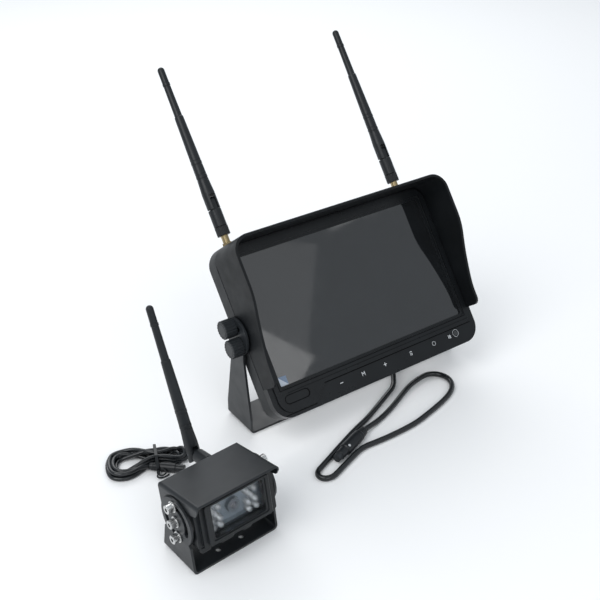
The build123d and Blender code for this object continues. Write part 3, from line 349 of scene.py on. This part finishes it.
@dataclass
class Route:
    """A cord's route: control points of one smooth line, in metres."""

    points: list[Vector]

    def line(self) -> list[Vector]:
        """Return the points of the smooth line, read from a NURBS spline.

        Returns:
            Points along the line, close together.
        """
        curve = bpy.data.curves.new("route", "CURVE")
        curve.dimensions = "3D"
        curve.resolution_u = 8
        spline = curve.splines.new("NURBS")
        spline.points.add(len(self.points) - 1)
        for slot, point in zip(spline.points, self.points):
            slot.co = (*point, 1)
        spline.order_u = 3
        spline.use_endpoint_u = True
        holder = bpy.data.objects.new("route", curve)
        mesh = bpy.data.meshes.new_from_object(holder)
        line = [v.co.copy() for v in mesh.vertices]
        bpy.data.objects.remove(holder)
        bpy.data.curves.remove(curve)
        bpy.data.meshes.remove(mesh)
        return line


def tube(line: list[Vector], radius: float, sides: int = 20) -> tuple[list[Vector], Faces]:
    """Sweep a circle along a line.

    Args:
        line: Points of the line.
        radius: Radius of the tube.
        sides: Points round the tube.

    Returns:
        The tube's points and faces, closed at both ends.
    """
    points, faces = [], []
    side = Vector((0, 0, 1)).cross(line[1] - line[0]).normalized()
    last = len(line) - 1
    for i, centre in enumerate(line):
        along = (line[min(i + 1, last)] - line[max(i - 1, 0)]).normalized()
        side = (side - along * side.dot(along)).normalized()
        up = along.cross(side)
        for k in range(sides):
            angle = 2 * math.pi * k / sides
            points.append(centre + radius * (math.cos(angle) * side + math.sin(angle) * up))
        if i:
            low = (i - 1) * sides
            for k in range(sides):
                after = (k + 1) % sides
                faces.append((low + k, low + after, low + sides + after, low + sides + k))
    faces.append(tuple(reversed(range(sides))))
    faces.append(tuple(range(last * sides, (last + 1) * sides)))
    return points, faces


def length_of(line: list[Vector]) -> float:
    """Return the length of a line of points."""
    return sum((b - a).length for a, b in zip(line, line[1:]))


@dataclass
class Monitor:
    """The monitor on its bracket: case, visor, screen, knobs and two antennas."""

    tilt: float = math.radians(39.0)
    axis_height: float = 0.0915
    panel_face: float = -12.5 * MM
    strip_face: float = -11.0 * MM
    keys_height: float = -68.4 * MM
    key_places: dict[str, float] = field(default_factory=lambda: {
        "minus": -44.0 * MM, "M": -20.5 * MM, "plus": 3.5 * MM, "S": 33.0 * MM, "ring": 60.0 * MM,
        "IR": 79.0 * MM,
    })
    receiver_x: float = 86.5 * MM
    glass_face: float = -10.3 * MM
    screen_middle: float = 4.0 * MM
    screen_reach: tuple[float, float] = (102.4 * MM, 59.3 * MM)
    film_corner: tuple[float, float] = (-99.2 * MM, -52.0 * MM)
    film_size: float = 8.0 * MM
    badge_middle: tuple[float, float] = (-88.5 * MM, -64.0 * MM)
    badge_depth: float = 0.6 * MM

    @property
    def place(self) -> Matrix:
        """Return the matrix from the case's own axes to the shared frame."""
        return Matrix.Translation((0, 0, self.axis_height)) @ Matrix.Rotation(-self.tilt, 4, "X")

    def build(self) -> None:
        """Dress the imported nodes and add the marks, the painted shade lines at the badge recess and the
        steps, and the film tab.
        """
        f = FINISHES
        dress(f.bracket, "monitor_bracket")
        dress(f.case, "rear_shell")
        dress(f.visor, "visor")
        dress(f.bezel, "front_bezel")
        dress(f.screen, "screen_window", "ir_window")
        dress(f.panel, "lcd_panel", "speaker")
        dress(f.steel, "panel_frame", "case_screws")
        dress(f.green_board, "main_board", "touch_board")
        dress(f.brass, "knob_inserts", "antenna_sockets")
        dress(f.rubber, "arm_washers", "pigtail_gland")
        for side in ("left", "right"):
            for height in ("lower", "upper"):
                dress(f.knob, f"knob_{side}_{height}")
                dress(f.steel, f"stud_{side}_{height}")
        for name in ("left_antenna", "right_antenna", "camera_antenna"):
            dress(f.antenna, f"{name}_nut", f"{name}_knuckle", f"{name}_whip")
            dress(f.dark_steel, f"{name}_pin")
        self._marks()
        self._badge()
        self._paint_step_shade()
        self._film_tab()

    def _flat(self, name: str, outline: list[Outline], face: float, finish: Finish,
              thickness: float = 0.08 * MM) -> bpy.types.Object:
        """Lay thin flat shapes on the front: print, painted shade lines and the film tab.

        Args:
            name: Name of the piece.
            outline: Closed outlines, in the case's own X and Z.
            face: The case's own Y of the surface below.
            finish: Finish of the shapes.
            thickness: How far the shapes stand proud.

        Returns:
            The new piece.
        """
        points, faces = [], []
        for ring in outline:
            start, count = len(points), len(ring)
            for y in (face + 0.02 * MM, face - thickness):
                points += [self.place @ Vector((x, y, z)) for x, z in ring]
            faces.append(tuple(range(start + count, start + 2 * count)))
            for k in range(count):
                after = (k + 1) % count
                faces.append((start + k, start + after, start + count + after, start + count + k))
        return put(name, points, faces, finish, "monitor", "bezel_plastic", smooth=False)

    def _bar(self, x: float, z: float, width: float, height: float) -> Outline:
        """Return the outline of an upright bar.

        Args:
            x: The bar's centre.
            z: The bar's centre.
            width: Its size along X.
            height: Its size along Z.

        Returns:
            Its four corners.
        """
        return [(x - width / 2, z - height / 2), (x + width / 2, z - height / 2),
                (x + width / 2, z + height / 2), (x - width / 2, z + height / 2)]

    def _stroke(self, x: float, z: float, path: Outline, width: float) -> list[Outline]:
        """Return bars along a path of a letter, round a centre.

        Args:
            x: The letter's centre.
            z: The letter's centre.
            path: The path's points, from the letter's centre.
            width: Width of the stroke.

        Returns:
            One outline for each run of the path.
        """
        bars = []
        for (x0, z0), (x1, z1) in zip(path, path[1:]):
            run = Vector((x1 - x0, z1 - z0)).normalized() * width / 2
            off = Vector((-run.y, run.x))
            a, b = Vector((x + x0, z + z0)) - run, Vector((x + x1, z + z1)) + run
            bars.append([tuple(a - off), tuple(b - off), tuple(b + off), tuple(a + off)])
        return bars

    def _circle(self, radius: float, steps: int) -> Outline:
        """Return a closed circle round the origin, its last point on its first."""
        return [(radius * math.cos(2 * math.pi * k / steps), radius * math.sin(2 * math.pi * k / steps))
                for k in range(steps + 1)]

    def _marks(self) -> None:
        """Print the touch marks along the strip below the screen."""
        z, stroke, reach = self.keys_height, 0.5 * MM, 1.6 * MM
        thin, halo_stroke = 0.9 * stroke, 0.25 * MM
        at, scale = self.key_places, 1.1 * MM
        shapes = [self._bar(at["minus"], z, 2 * reach, stroke)]
        shapes += [self._bar(at["plus"], z, 2 * reach, stroke), self._bar(at["plus"], z, stroke, 2 * reach)]
        letters = [
            ("M", [(-1.2, -1.4), (-1.2, 1.4), (0, -0.4), (1.2, 1.4), (1.2, -1.4)]),
            ("S", [(1.0, 0.9), (0.5, 1.4), (-0.5, 1.4), (-1.0, 0.8), (-0.6, 0.2), (0.6, -0.2), (1.0, -0.8),
                   (0.5, -1.4), (-0.5, -1.4), (-1.0, -0.9)]),
            ("IR", [(-1.3, -1.2), (-1.3, 1.2)]),
            ("IR", [(-0.2, -1.2), (-0.2, 1.2), (0.8, 1.1), (1.0, 0.5), (0.7, 0.1), (-0.1, 0.0), (1.0, -1.2)]),
        ]
        for key, path in letters:
            shapes += self._stroke(at[key], z, [(a * scale, b * scale) for a, b in path], thin)
        shapes += self._stroke(at["ring"], z, self._circle(1.8 * MM, 24), thin)
        self._flat("touch_marks", shapes, self.strip_face, FINISHES.print_white)
        halo = self._stroke(self.receiver_x, z + MM, self._circle(3.2 * MM, 32), halo_stroke)
        self._flat("receiver_ring", halo, self.strip_face, FINISHES.print_white)

    def _badge(self) -> None:
        """Paint a shade line round the edge of the plain badge recess."""
        reach, radius, line, steps = 8.2 * MM, 3.6 * MM, 0.5 * MM, 40
        path = []
        for k in range(steps + 1):
            turn = math.pi / 2 + 2 * math.pi * k / steps
            side = -reach if math.pi / 2 <= turn % (2 * math.pi) < 1.5 * math.pi else reach
            path.append((side + radius * math.cos(turn), radius * math.sin(turn)))
        # Painted shade: a dark line round the recess edge, where its wall falls into shade.
        self._flat("badge_recess_shade", self._stroke(*self.badge_middle, path, line),
                   self.panel_face + self.badge_depth, FINISHES.gap)

    def _paint_step_shade(self) -> None:
        """Paint shade as dark lines along the step under the raised panel, the step round the screen and a
        groove below it.
        """
        # Painted shade: dark lines where the steps and the groove fall into shade.
        panel = [(-104 * MM, -76.0 * MM), (-73.4 * MM, -76.0 * MM), (-60.2 * MM, -62.6 * MM),
                 (106 * MM, -62.6 * MM)]
        self._flat("panel_step_shade", self._stroke(0, 0, panel, 0.7 * MM), self.strip_face, FINISHES.gap)
        across, up = self.screen_reach
        top, bottom = self.screen_middle + up, self.screen_middle - up
        frame_line = [(-across, top), (-across, bottom), (across, bottom), (across, top)]
        self._flat("screen_step_shade", self._stroke(0, 0, frame_line, 0.5 * MM), self.panel_face, FINISHES.gap)
        low = bottom - 3.2 * MM
        self._flat("lower_shade_line", self._stroke(0, 0, [(-96 * MM, low), (104 * MM, low)], 0.35 * MM),
                   self.panel_face, FINISHES.gap)

    def _film_tab(self) -> None:
        """Add the pull tab of the screen's protective film, with its pale folded half."""
        (left, low), size = self.film_corner, self.film_size
        corner, right, top = (left, low), (left + size, low), (left, low + size)
        middle, far = (left + size * 0.45, low + size * 0.5), (left + size, low + size * 0.95)
        self._flat("film_tab", [[top, middle, right, far]], self.glass_face, FINISHES.film, 0.12 * MM)
        self._flat("film_fold", [[corner, right, top]], self.glass_face, FINISHES.film_back, 0.18 * MM)


@dataclass
class CameraUnit:
    """The rear camera on its bracket."""

    foot: tuple[float, float] = (-0.1992, -0.1072)
    yaw: float = math.radians(4.5)
    tilt: float = math.radians(11.0)
    axis_height: float = 0.0392
    board_front: float = -14.2 * MM
    window_mid: float = 2.6 * MM
    led_column: float = 16.0 * MM
    led_pitch: float = 6.5 * MM
    led_rows: tuple[float, ...] = (-10.5 * MM, -4.7 * MM, 4.7 * MM, 10.5 * MM)

    @property
    def place(self) -> Matrix:
        """Return the matrix from the head's own axes to the shared frame."""
        stand = Matrix.Translation((*self.foot, 0)) @ Matrix.Rotation(self.yaw, 4, "Z")
        return stand @ Matrix.Translation((0, 0, self.axis_height)) @ Matrix.Rotation(-self.tilt, 4, "X")

    def build(self) -> None:
        """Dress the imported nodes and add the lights' cups and the lens glass."""
        f = FINISHES
        dress(f.bracket, "camera_bracket")
        dress(f.camera, "camera_housing", "camera_front_frame", "camera_rear_cover")
        dress(f.hood, "camera_hood")
        dress(f.clear, "camera_window")
        dress(f.rubber, "window_gasket", "camera_lead_gland")
        dress(f.grey_board, "led_board")
        dress(f.led, "infrared_leds")
        dress(f.lens, "lens_barrel")
        dress(f.green_board, "sensor_board")
        dress(f.steel, "rear_cover_screws", "side_screws", "side_washers")
        dress(f.brass, "camera_antenna_socket")
        self._cups()
        self._lens_glass()

    def _light_places(self) -> list[tuple[float, float]]:
        """Return the X and Z of every light, in the head's own axes."""
        places = [(side * (self.led_column + half * self.led_pitch / 2), self.window_mid + row)
                  for side in (-1, 1) for half in (-1, 1) for row in self.led_rows]
        return places + [(-self.led_column, self.window_mid), (self.led_column, self.window_mid)]

    def _cups(self) -> None:
        """Set a small metal cup behind each light, made by Geometry Nodes."""
        host = bpy.data.meshes.new("light_points")
        host.from_pydata([(x, z, 0) for x, z in self._light_places()], [], [])
        repeater = CupRepeater(top=1.5 * MM, bottom=0.5 * MM, depth=0.9 * MM, sides=20)
        cups = repeater.make(host, FINISHES.steel)
        swap = Matrix(((1, 0, 0, 0), (0, 0, -1, 0), (0, 1, 0, 0), (0, 0, 0, 1)))
        lift = Matrix.Translation((0, self.board_front - 1.6 * MM, 0))
        vertices = [self.place @ lift @ swap @ v.co for v in cups.vertices]
        faces = [tuple(p.vertices) for p in cups.polygons]
        put("light_cups", vertices, faces, FINISHES.steel, "camera_head", "bright_steel")
        bpy.data.meshes.remove(cups)

    def _lens_glass(self) -> None:
        """Close the lens barrel with a domed glass."""
        radius, dome, rings, sides = 3.4 * MM, 1.3 * MM, 8, 32
        front = self.board_front - 3.4 * MM
        points = [self.place @ Vector((0, front - dome, self.window_mid))]
        faces = []
        for ring in range(1, rings + 1):
            out = radius * ring / rings
            y = front - dome * (1 - (ring / rings) ** 2)
            for k in range(sides):
                turn = 2 * math.pi * k / sides
                spot = Vector((out * math.cos(turn), y, self.window_mid + out * math.sin(turn)))
                points.append(self.place @ spot)
        for k in range(sides):
            faces.append((0, 1 + k, 1 + (k + 1) % sides))
        for ring in range(rings - 1):
            low = 1 + ring * sides
            for k in range(sides):
                after = (k + 1) % sides
                faces.append((low + k, low + sides + k, low + sides + after, low + after))
        put("lens_glass", points, faces, FINISHES.coated, "camera_head", "lens_black")


@dataclass
class CupRepeater:
    """Geometry Nodes tree that sets one open cone on every point of a mesh."""

    top: float
    bottom: float
    depth: float
    sides: int

    def tree(self) -> bpy.types.NodeTree:
        """Build the tree with its sizes as named inputs.

        Returns:
            The node tree.
        """
        tree = bpy.data.node_groups.new("cups_on_points", "GeometryNodeTree")
        face = tree.interface
        face.new_socket("Geometry", in_out="OUTPUT", socket_type="NodeSocketGeometry")
        face.new_socket("Geometry", in_out="INPUT", socket_type="NodeSocketGeometry")
        for name in ("Top Radius", "Bottom Radius", "Depth"):
            face.new_socket(name, in_out="INPUT", socket_type="NodeSocketFloat")
        face.new_socket("Sides", in_out="INPUT", socket_type="NodeSocketInt")
        face.new_socket("Material", in_out="INPUT", socket_type="NodeSocketMaterial")
        entry, leave = tree.nodes.new("NodeGroupInput"), tree.nodes.new("NodeGroupOutput")
        cone = tree.nodes.new("GeometryNodeMeshCone")
        cone.fill_type = "NONE"
        points = tree.nodes.new("GeometryNodeMeshToPoints")
        set_down = tree.nodes.new("GeometryNodeInstanceOnPoints")
        real = tree.nodes.new("GeometryNodeRealizeInstances")
        paint = tree.nodes.new("GeometryNodeSetMaterial")
        link = tree.links.new
        link(entry.outputs["Geometry"], points.inputs["Mesh"])
        link(entry.outputs["Sides"], cone.inputs["Vertices"])
        link(entry.outputs["Top Radius"], cone.inputs["Radius Top"])
        link(entry.outputs["Bottom Radius"], cone.inputs["Radius Bottom"])
        link(entry.outputs["Depth"], cone.inputs["Depth"])
        link(points.outputs["Points"], set_down.inputs["Points"])
        link(cone.outputs["Mesh"], set_down.inputs["Instance"])
        link(set_down.outputs["Instances"], real.inputs["Geometry"])
        link(real.outputs["Geometry"], paint.inputs["Geometry"])
        link(entry.outputs["Material"], paint.inputs["Material"])
        link(paint.outputs["Geometry"], leave.inputs["Geometry"])
        return tree

    def make(self, host: bpy.types.Mesh, finish: Finish) -> bpy.types.Mesh:
        """Run the tree on a mesh of points.

        Args:
            host: Mesh whose vertices are the places.
            finish: Finish of the cups.

        Returns:
            A plain mesh of all the cups.
        """
        holder = bpy.data.objects.new("cup_host", host)
        bpy.context.scene.collection.objects.link(holder)
        modifier = holder.modifiers.new("cups", "NODES")
        modifier.node_group = self.tree()
        values = {"Top Radius": self.top, "Bottom Radius": self.bottom, "Depth": self.depth,
                  "Sides": self.sides, "Material": finish.material()}
        for item in modifier.node_group.interface.items_tree:
            if item.in_out == "INPUT" and item.name in values:
                modifier[item.identifier] = values[item.name]
        graph = bpy.context.evaluated_depsgraph_get()
        made = bpy.data.meshes.new_from_object(holder.evaluated_get(graph))
        holder.modifiers.remove(modifier)
        bpy.data.objects.remove(holder)
        return made


@dataclass
class MonitorCord:
    """The monitor's power cord, from the case down to the floor, round a loop and back to its connector."""

    diameter: float = 4.8 * MM
    length: float = 0.528
    connector_start: tuple[float, float, float] = (-35.4, -74.2, 5.3)
    connector_heading: float = math.radians(-159.1)
    connector_radius: float = 5.25 * MM
    dot_radius: float = 1.1 * MM
    dot_along: float = 29 * MM
    floor_gap: float = 0.05
    drop: tuple[tuple[float, float, float], ...] = (
        (58, -17.5, 28.45), (58, -9.6, 22.0), (56.5, -4.0, 14.0), (51.5, -6.5, 8.6), (43.5, -15.5, 8.0),
        (36.5, -26.0, 6.4),
    )
    floor: tuple[tuple[float, float], ...] = (
        (28.5, -37.0), (15.0, -43.5), (-2.0, -51.5), (-21.0, -60.3), (-39.0, -66.4), (-57.0, -73.8),
        (-74.5, -81.4), (-84.0, -85.6), (-91.6, -88.8), (-97.8, -91.6), (-101.0, -97.0), (-97.8, -102.6),
        (-91.2, -104.0), (-84.0, -101.6), (-74.5, -97.8), (-63.0, -93.6), (-49.0, -88.6), (-31.0, -90.2),
        (-10.0, -90.6), (10.0, -89.6), (29.0, -85.2), (47.0, -80.6), (62.5, -75.2), (73.5, -67.0),
        (78.0, -56.5), (74.5, -46.0), (65.5, -40.3), (53.5, -41.6), (41.0, -44.6), (27.0, -50.7),
        (13.0, -57.6), (-1.0, -63.6), (-16.0, -68.6),
    )
    rise: tuple[float, float, float] = (-27.0, -71.3, 3.9)

    def build(self) -> None:
        """Make the tube and the connector's dot, and dress the connector and its tip."""
        lie = self.diameter / MM / 2 + self.floor_gap
        laid = [(x, y, lie) for x, y in self.floor]
        points = [*self.drop, *laid, self.rise, self.connector_start]
        line = Route([Vector(p) * MM for p in points]).line()
        cord = put("monitor_cord", *tube(line, self.diameter / 2), FINISHES.jacket, None, "cord_jacket")
        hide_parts("pigtail_slack", "pigtail_lead")
        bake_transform(cord)
        dress(FINISHES.connector, "pigtail_connector")
        dress(FINISHES.rubber, "pigtail_tip")
        self._dot()
        LOG.info("monitor cord is %.3f m", length_of(line))

    def _dot(self) -> None:
        """Print the round alignment dot on the connector's body."""
        heading, sides, lean = self.connector_heading, 20, -0.55
        along = Vector((math.cos(heading), math.sin(heading), 0))
        up = Vector((0, 0, 1))
        side = up.cross(along)
        centre = Vector(self.connector_start) * MM + along * self.dot_along
        radius, dot, proud = self.connector_radius, self.dot_radius, 0.05 * MM
        points = []
        for k in range(sides):
            turn = 2 * math.pi * k / sides
            swing = lean + dot * math.sin(turn) / radius
            outward = math.cos(swing) * up - math.sin(swing) * side
            points.append(centre + along * dot * math.cos(turn) + (radius + proud) * outward)
        put("connector_dot", points, [tuple(range(sides))], FINISHES.print_white, "monitor_bracket",
            "connector_black", smooth=False)


@dataclass
class CameraCord:
    """The camera's lead: from the housing to the floor, wound into a tied hank, to its connector."""

    diameter: float = 3.6 * MM
    length: float = 0.82
    hank_place: tuple[float, float, float] = (-206.0, -2.0, -22.0)
    tie: float = 7.0
    drop: tuple[tuple[float, float, float], ...] = (
        (-218.26, -82.35, 27.96), (-219.0, -70.5, 25.6), (-217.0, -58.5, 19.5), (-208.5, -48.0, 12.0),
        (-197.0, -41.5, 5.6), (-184.5, -38.0, 1.85), (-174.0, -31.5, 1.85), (-168.3, -21.5, 1.85),
        (-168.5, -11.5, 1.85),
    )
    tail_radius: float = 0.7 * MM
    plug_end: tuple[float, float, float] = (0.5, -6.6, 4.05)
    tails: tuple[tuple[tuple[float, float, float], ...], ...] = (
        ((7.0, -14.9, 5.0), (7.4, -17.5, 4.2), (5.2, -19.5, 2.4), (8.0, -20.6, 1.4), (12.5, -19.6, 1.1),
         (15.5, -17.2, 1.0)),
        ((7.0, -14.9, 3.6), (6.2, -17.6, 3.0), (9.4, -19.6, 2.6), (13.2, -18.4, 3.4), (13.0, -15.8, 5.6),
         (9.6, -15.2, 6.4)),
    )
    far_slots: tuple[tuple[float, float], ...] = (
        (6.2, 1.9), (6.2, 5.4), (2.4, 9.0), (6.2, 8.9), (2.4, 1.9),
    )
    near_slots: tuple[tuple[float, float], ...] = ((-1.6, 1.9), (2.4, 5.5), (-1.6, 5.4), (-1.6, 8.9))
    left_lobes: tuple[tuple[float, float, float], ...] = (
        (-33.0, 15.6, 1.9), (-29.6, 12.0, 2.0), (-31.6, 14.0, 5.5), (-26.0, 8.4, 2.2), (-28.4, 10.6, 5.6),
    )
    right_lobes: tuple[tuple[float, float], ...] = ((29.0, 1.9), (33.0, 3.6), (26.0, 3.0), (31.0, 6.6))

    @property
    def place(self) -> Matrix:
        """Return the matrix from the hank's own axes, in millimetres, to the shared frame."""
        x, y, turn = self.hank_place
        spin = Matrix.Rotation(math.radians(turn), 4, "Z")
        return Matrix.Scale(MM, 4) @ Matrix.Translation((x, y, 0)) @ spin

    def _turns(self) -> list[tuple[float, float, float]]:
        """Return the hank's winding, turn by turn, in its own axes.

        Returns:
            Control points from the hank's right end to the connector.
        """
        points, tie = [(33.5, 8.6, 2.2)], self.tie
        for turn, (left, half, lie) in enumerate(self.left_lobes):
            far_y, far_z = self.far_slots[turn]
            points += [
                (22, 7.6, (lie + far_z) / 2), (14, far_y + 0.6, far_z), (tie, far_y, far_z),
                (0, far_y * 0.7 + half * 0.3, far_z), (-10, half * 0.95, (far_z + lie) / 2),
                (-20, half * 1.06, lie), (left + 3, half * 0.86, lie), (left, half * 0.34, lie),
                (left, -half * 0.34, lie), (left + 3, -half * 0.86, lie), (-20, -half * 1.06, lie),
            ]
            if turn == len(self.left_lobes) - 1:
                points += [(-13, -half, lie), (-6, -8.6, 4.6)]
                break
            near_y, near_z = self.near_slots[turn]
            right, rise = self.right_lobes[turn]
            points += [
                (-10, -half * 0.8, (near_z + lie) / 2), (0, near_y - 1.4, near_z), (tie, near_y, near_z),
                (14, near_y - 1.2, near_z), (22, -5.2, (near_z + rise) / 2), (right - 2.5, -4.6, rise),
                (right, -1.6, rise + 1.2), (right, 3.0, rise + 2.4), (right - 3.5, 6.2, rise + 1.4),
            ]
        return points

    def build(self) -> None:
        """Make the lead, its tie and its connector."""
        wound = [self.place @ Vector(p) for p in self._turns()]
        plug_end = self.place @ Vector(self.plug_end)
        line = Route([Vector(p) * MM for p in self.drop] + wound + [plug_end]).line()
        cord = put("camera_cord", *tube(line, self.diameter / 2, 16), FINISHES.jacket, None, "cord_jacket")
        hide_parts("camera_lead_slack", "camera_lead_hank")
        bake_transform(cord)
        dress(FINISHES.connector, "camera_lead_connector", "hank_tie")
        ends = self._tie_ends()
        LOG.info("camera cord is %.3f m", length_of(line))

    def _tie_ends(self) -> bpy.types.Object:
        """Make the tie's two twisted wire ends.

        Returns:
            The piece that holds both ends.
        """
        points, faces = [], []
        for tail in self.tails:
            bend = Route([self.place @ Vector(p) for p in tail]).line()
            vertices, rings = tube(bend, self.tail_radius, 10)
            faces += [tuple(len(points) + k for k in face) for face in rings]
            points += vertices
        return put("tie_ends", points, faces, FINISHES.connector, "camera_bracket", "tie_black")


@dataclass
class Studio:
    """The floor, the soft lights and the camera."""

    eye: tuple[float, float, float] = (-0.4757, -0.5983, 0.5593)
    azimuth: float = math.radians(-35.35)
    elevation: float = math.radians(31.81)
    roll: float = math.radians(0.29)
    lens: float = 60.96
    world_strength: float = 0.62
    floor_reach: float = 6.0
    middle: tuple[float, float, float] = (-0.05, -0.05, 0.08)
    pane_distance: float = 1.6
    panes: tuple[tuple[float, float, float, float, float, float], ...] = (
        (0.31, 0.02, 0.20, 0.22, 18.0, 0.20), (-0.20, 0.15, 0.24, 0.12, -20.0, 0.07),
        (0.24, 0.18, 0.34, 0.40, 40.0, 0.12),
    )

    def camera(self) -> None:
        """Create the camera and make it the scene's."""
        data = bpy.data.cameras.new("camera")
        data.lens, data.sensor_width = self.lens, 36.0
        data.clip_start, data.clip_end = 0.01, 50
        camera = bpy.data.objects.new("camera", data)
        turn = Matrix.Rotation(self.azimuth, 4, "Z") @ Matrix.Rotation(math.pi / 2 - self.elevation, 4, "X")
        camera.matrix_world = Matrix.Translation(self.eye) @ turn @ Matrix.Rotation(self.roll, 4, "Z")
        bpy.context.scene.collection.objects.link(camera)
        bpy.context.scene.camera = camera

    def _light(self, name: str, place: tuple[float, float, float], look: tuple[float, float, float],
               size: tuple[float, float], power: float) -> None:
        """Add a soft rectangular light.

        Args:
            name: Name of the light.
            place: Where it stands.
            look: What it points at.
            size: Its width and height.
            power: Its power in watts.
        """
        data = bpy.data.lights.new(name, "AREA")
        data.shape, data.size, data.size_y, data.energy = "RECTANGLE", *size, power
        light = bpy.data.objects.new(name, data)
        light.location = place
        light.rotation_euler = (Vector(look) - Vector(place)).to_track_quat("-Z", "Y").to_euler()
        bpy.context.scene.collection.objects.link(light)

    def build(self) -> None:
        """Lay the floor and hang the lights."""
        mesh = bpy.data.meshes.new("floor")
        far = self.floor_reach
        mesh.from_pydata([(-far, -far, 0), (far, -far, 0), (far, far, 0), (-far, far, 0)], [], [(0, 1, 2, 3)])
        pale = bpy.data.materials.new("pale floor")
        pale.use_nodes = True
        shader = pale.node_tree.nodes["Principled BSDF"]
        shader.inputs["Base Color"].default_value = (0.93, 0.93, 0.93, 1)
        shader.inputs["Roughness"].default_value = 0.9
        mesh.materials.append(pale)
        floor = bpy.data.objects.new("floor", mesh)
        bpy.context.scene.collection.objects.link(floor)
        world = bpy.data.worlds.new("studio")
        world.use_nodes = True
        sky = world.node_tree.nodes["Background"]
        sky.inputs["Color"].default_value = (0.88, 0.94, 1.0, 1)
        sky.inputs["Strength"].default_value = self.world_strength
        bpy.context.scene.world = world
        bpy.context.scene.view_settings.view_transform = "Standard"
        self._light("key", (-1.1, -0.3, 1.3), self.middle, (1.0, 1.0), 11)
        self._light("front", (-0.25, -1.5, 1.1), self.middle, (1.0, 0.7), 5)
        self._light("back", (0.4, 1.2, 1.2), self.middle, (1.6, 0.8), 11)
        self._panes()

    def _panes(self) -> None:
        """Hang dim panes where the screen mirrors them: low on its left, at its top right, and wide left."""
        screen, sight = Vector((0.0, -0.011, 0.102)), Vector((0.536, -0.643, 0.547)).normalized()
        across = sight.cross(Vector((0, 0, 1))).normalized()
        up = across.cross(sight)
        for number, (right, rise, width, height, slant, power) in enumerate(self.panes):
            centre = screen + sight * self.pane_distance + across * right + up * rise
            self._light(f"pane_{number}", tuple(centre), tuple(centre - sight), (width, height), power)
            bpy.data.objects[f"pane_{number}"].rotation_euler.rotate_axis("Z", math.radians(slant))


def main() -> None:
    logging.basicConfig(level=logging.INFO, format="%(name)s: %(message)s")
    studio = Studio()
    studio.camera()
    MonitorCord().build()
    CameraCord().build()
    Monitor().build()
    CameraUnit().build()
    studio.build()
    LOG.info("sizes written")


if __name__ == "__main__":
    main()
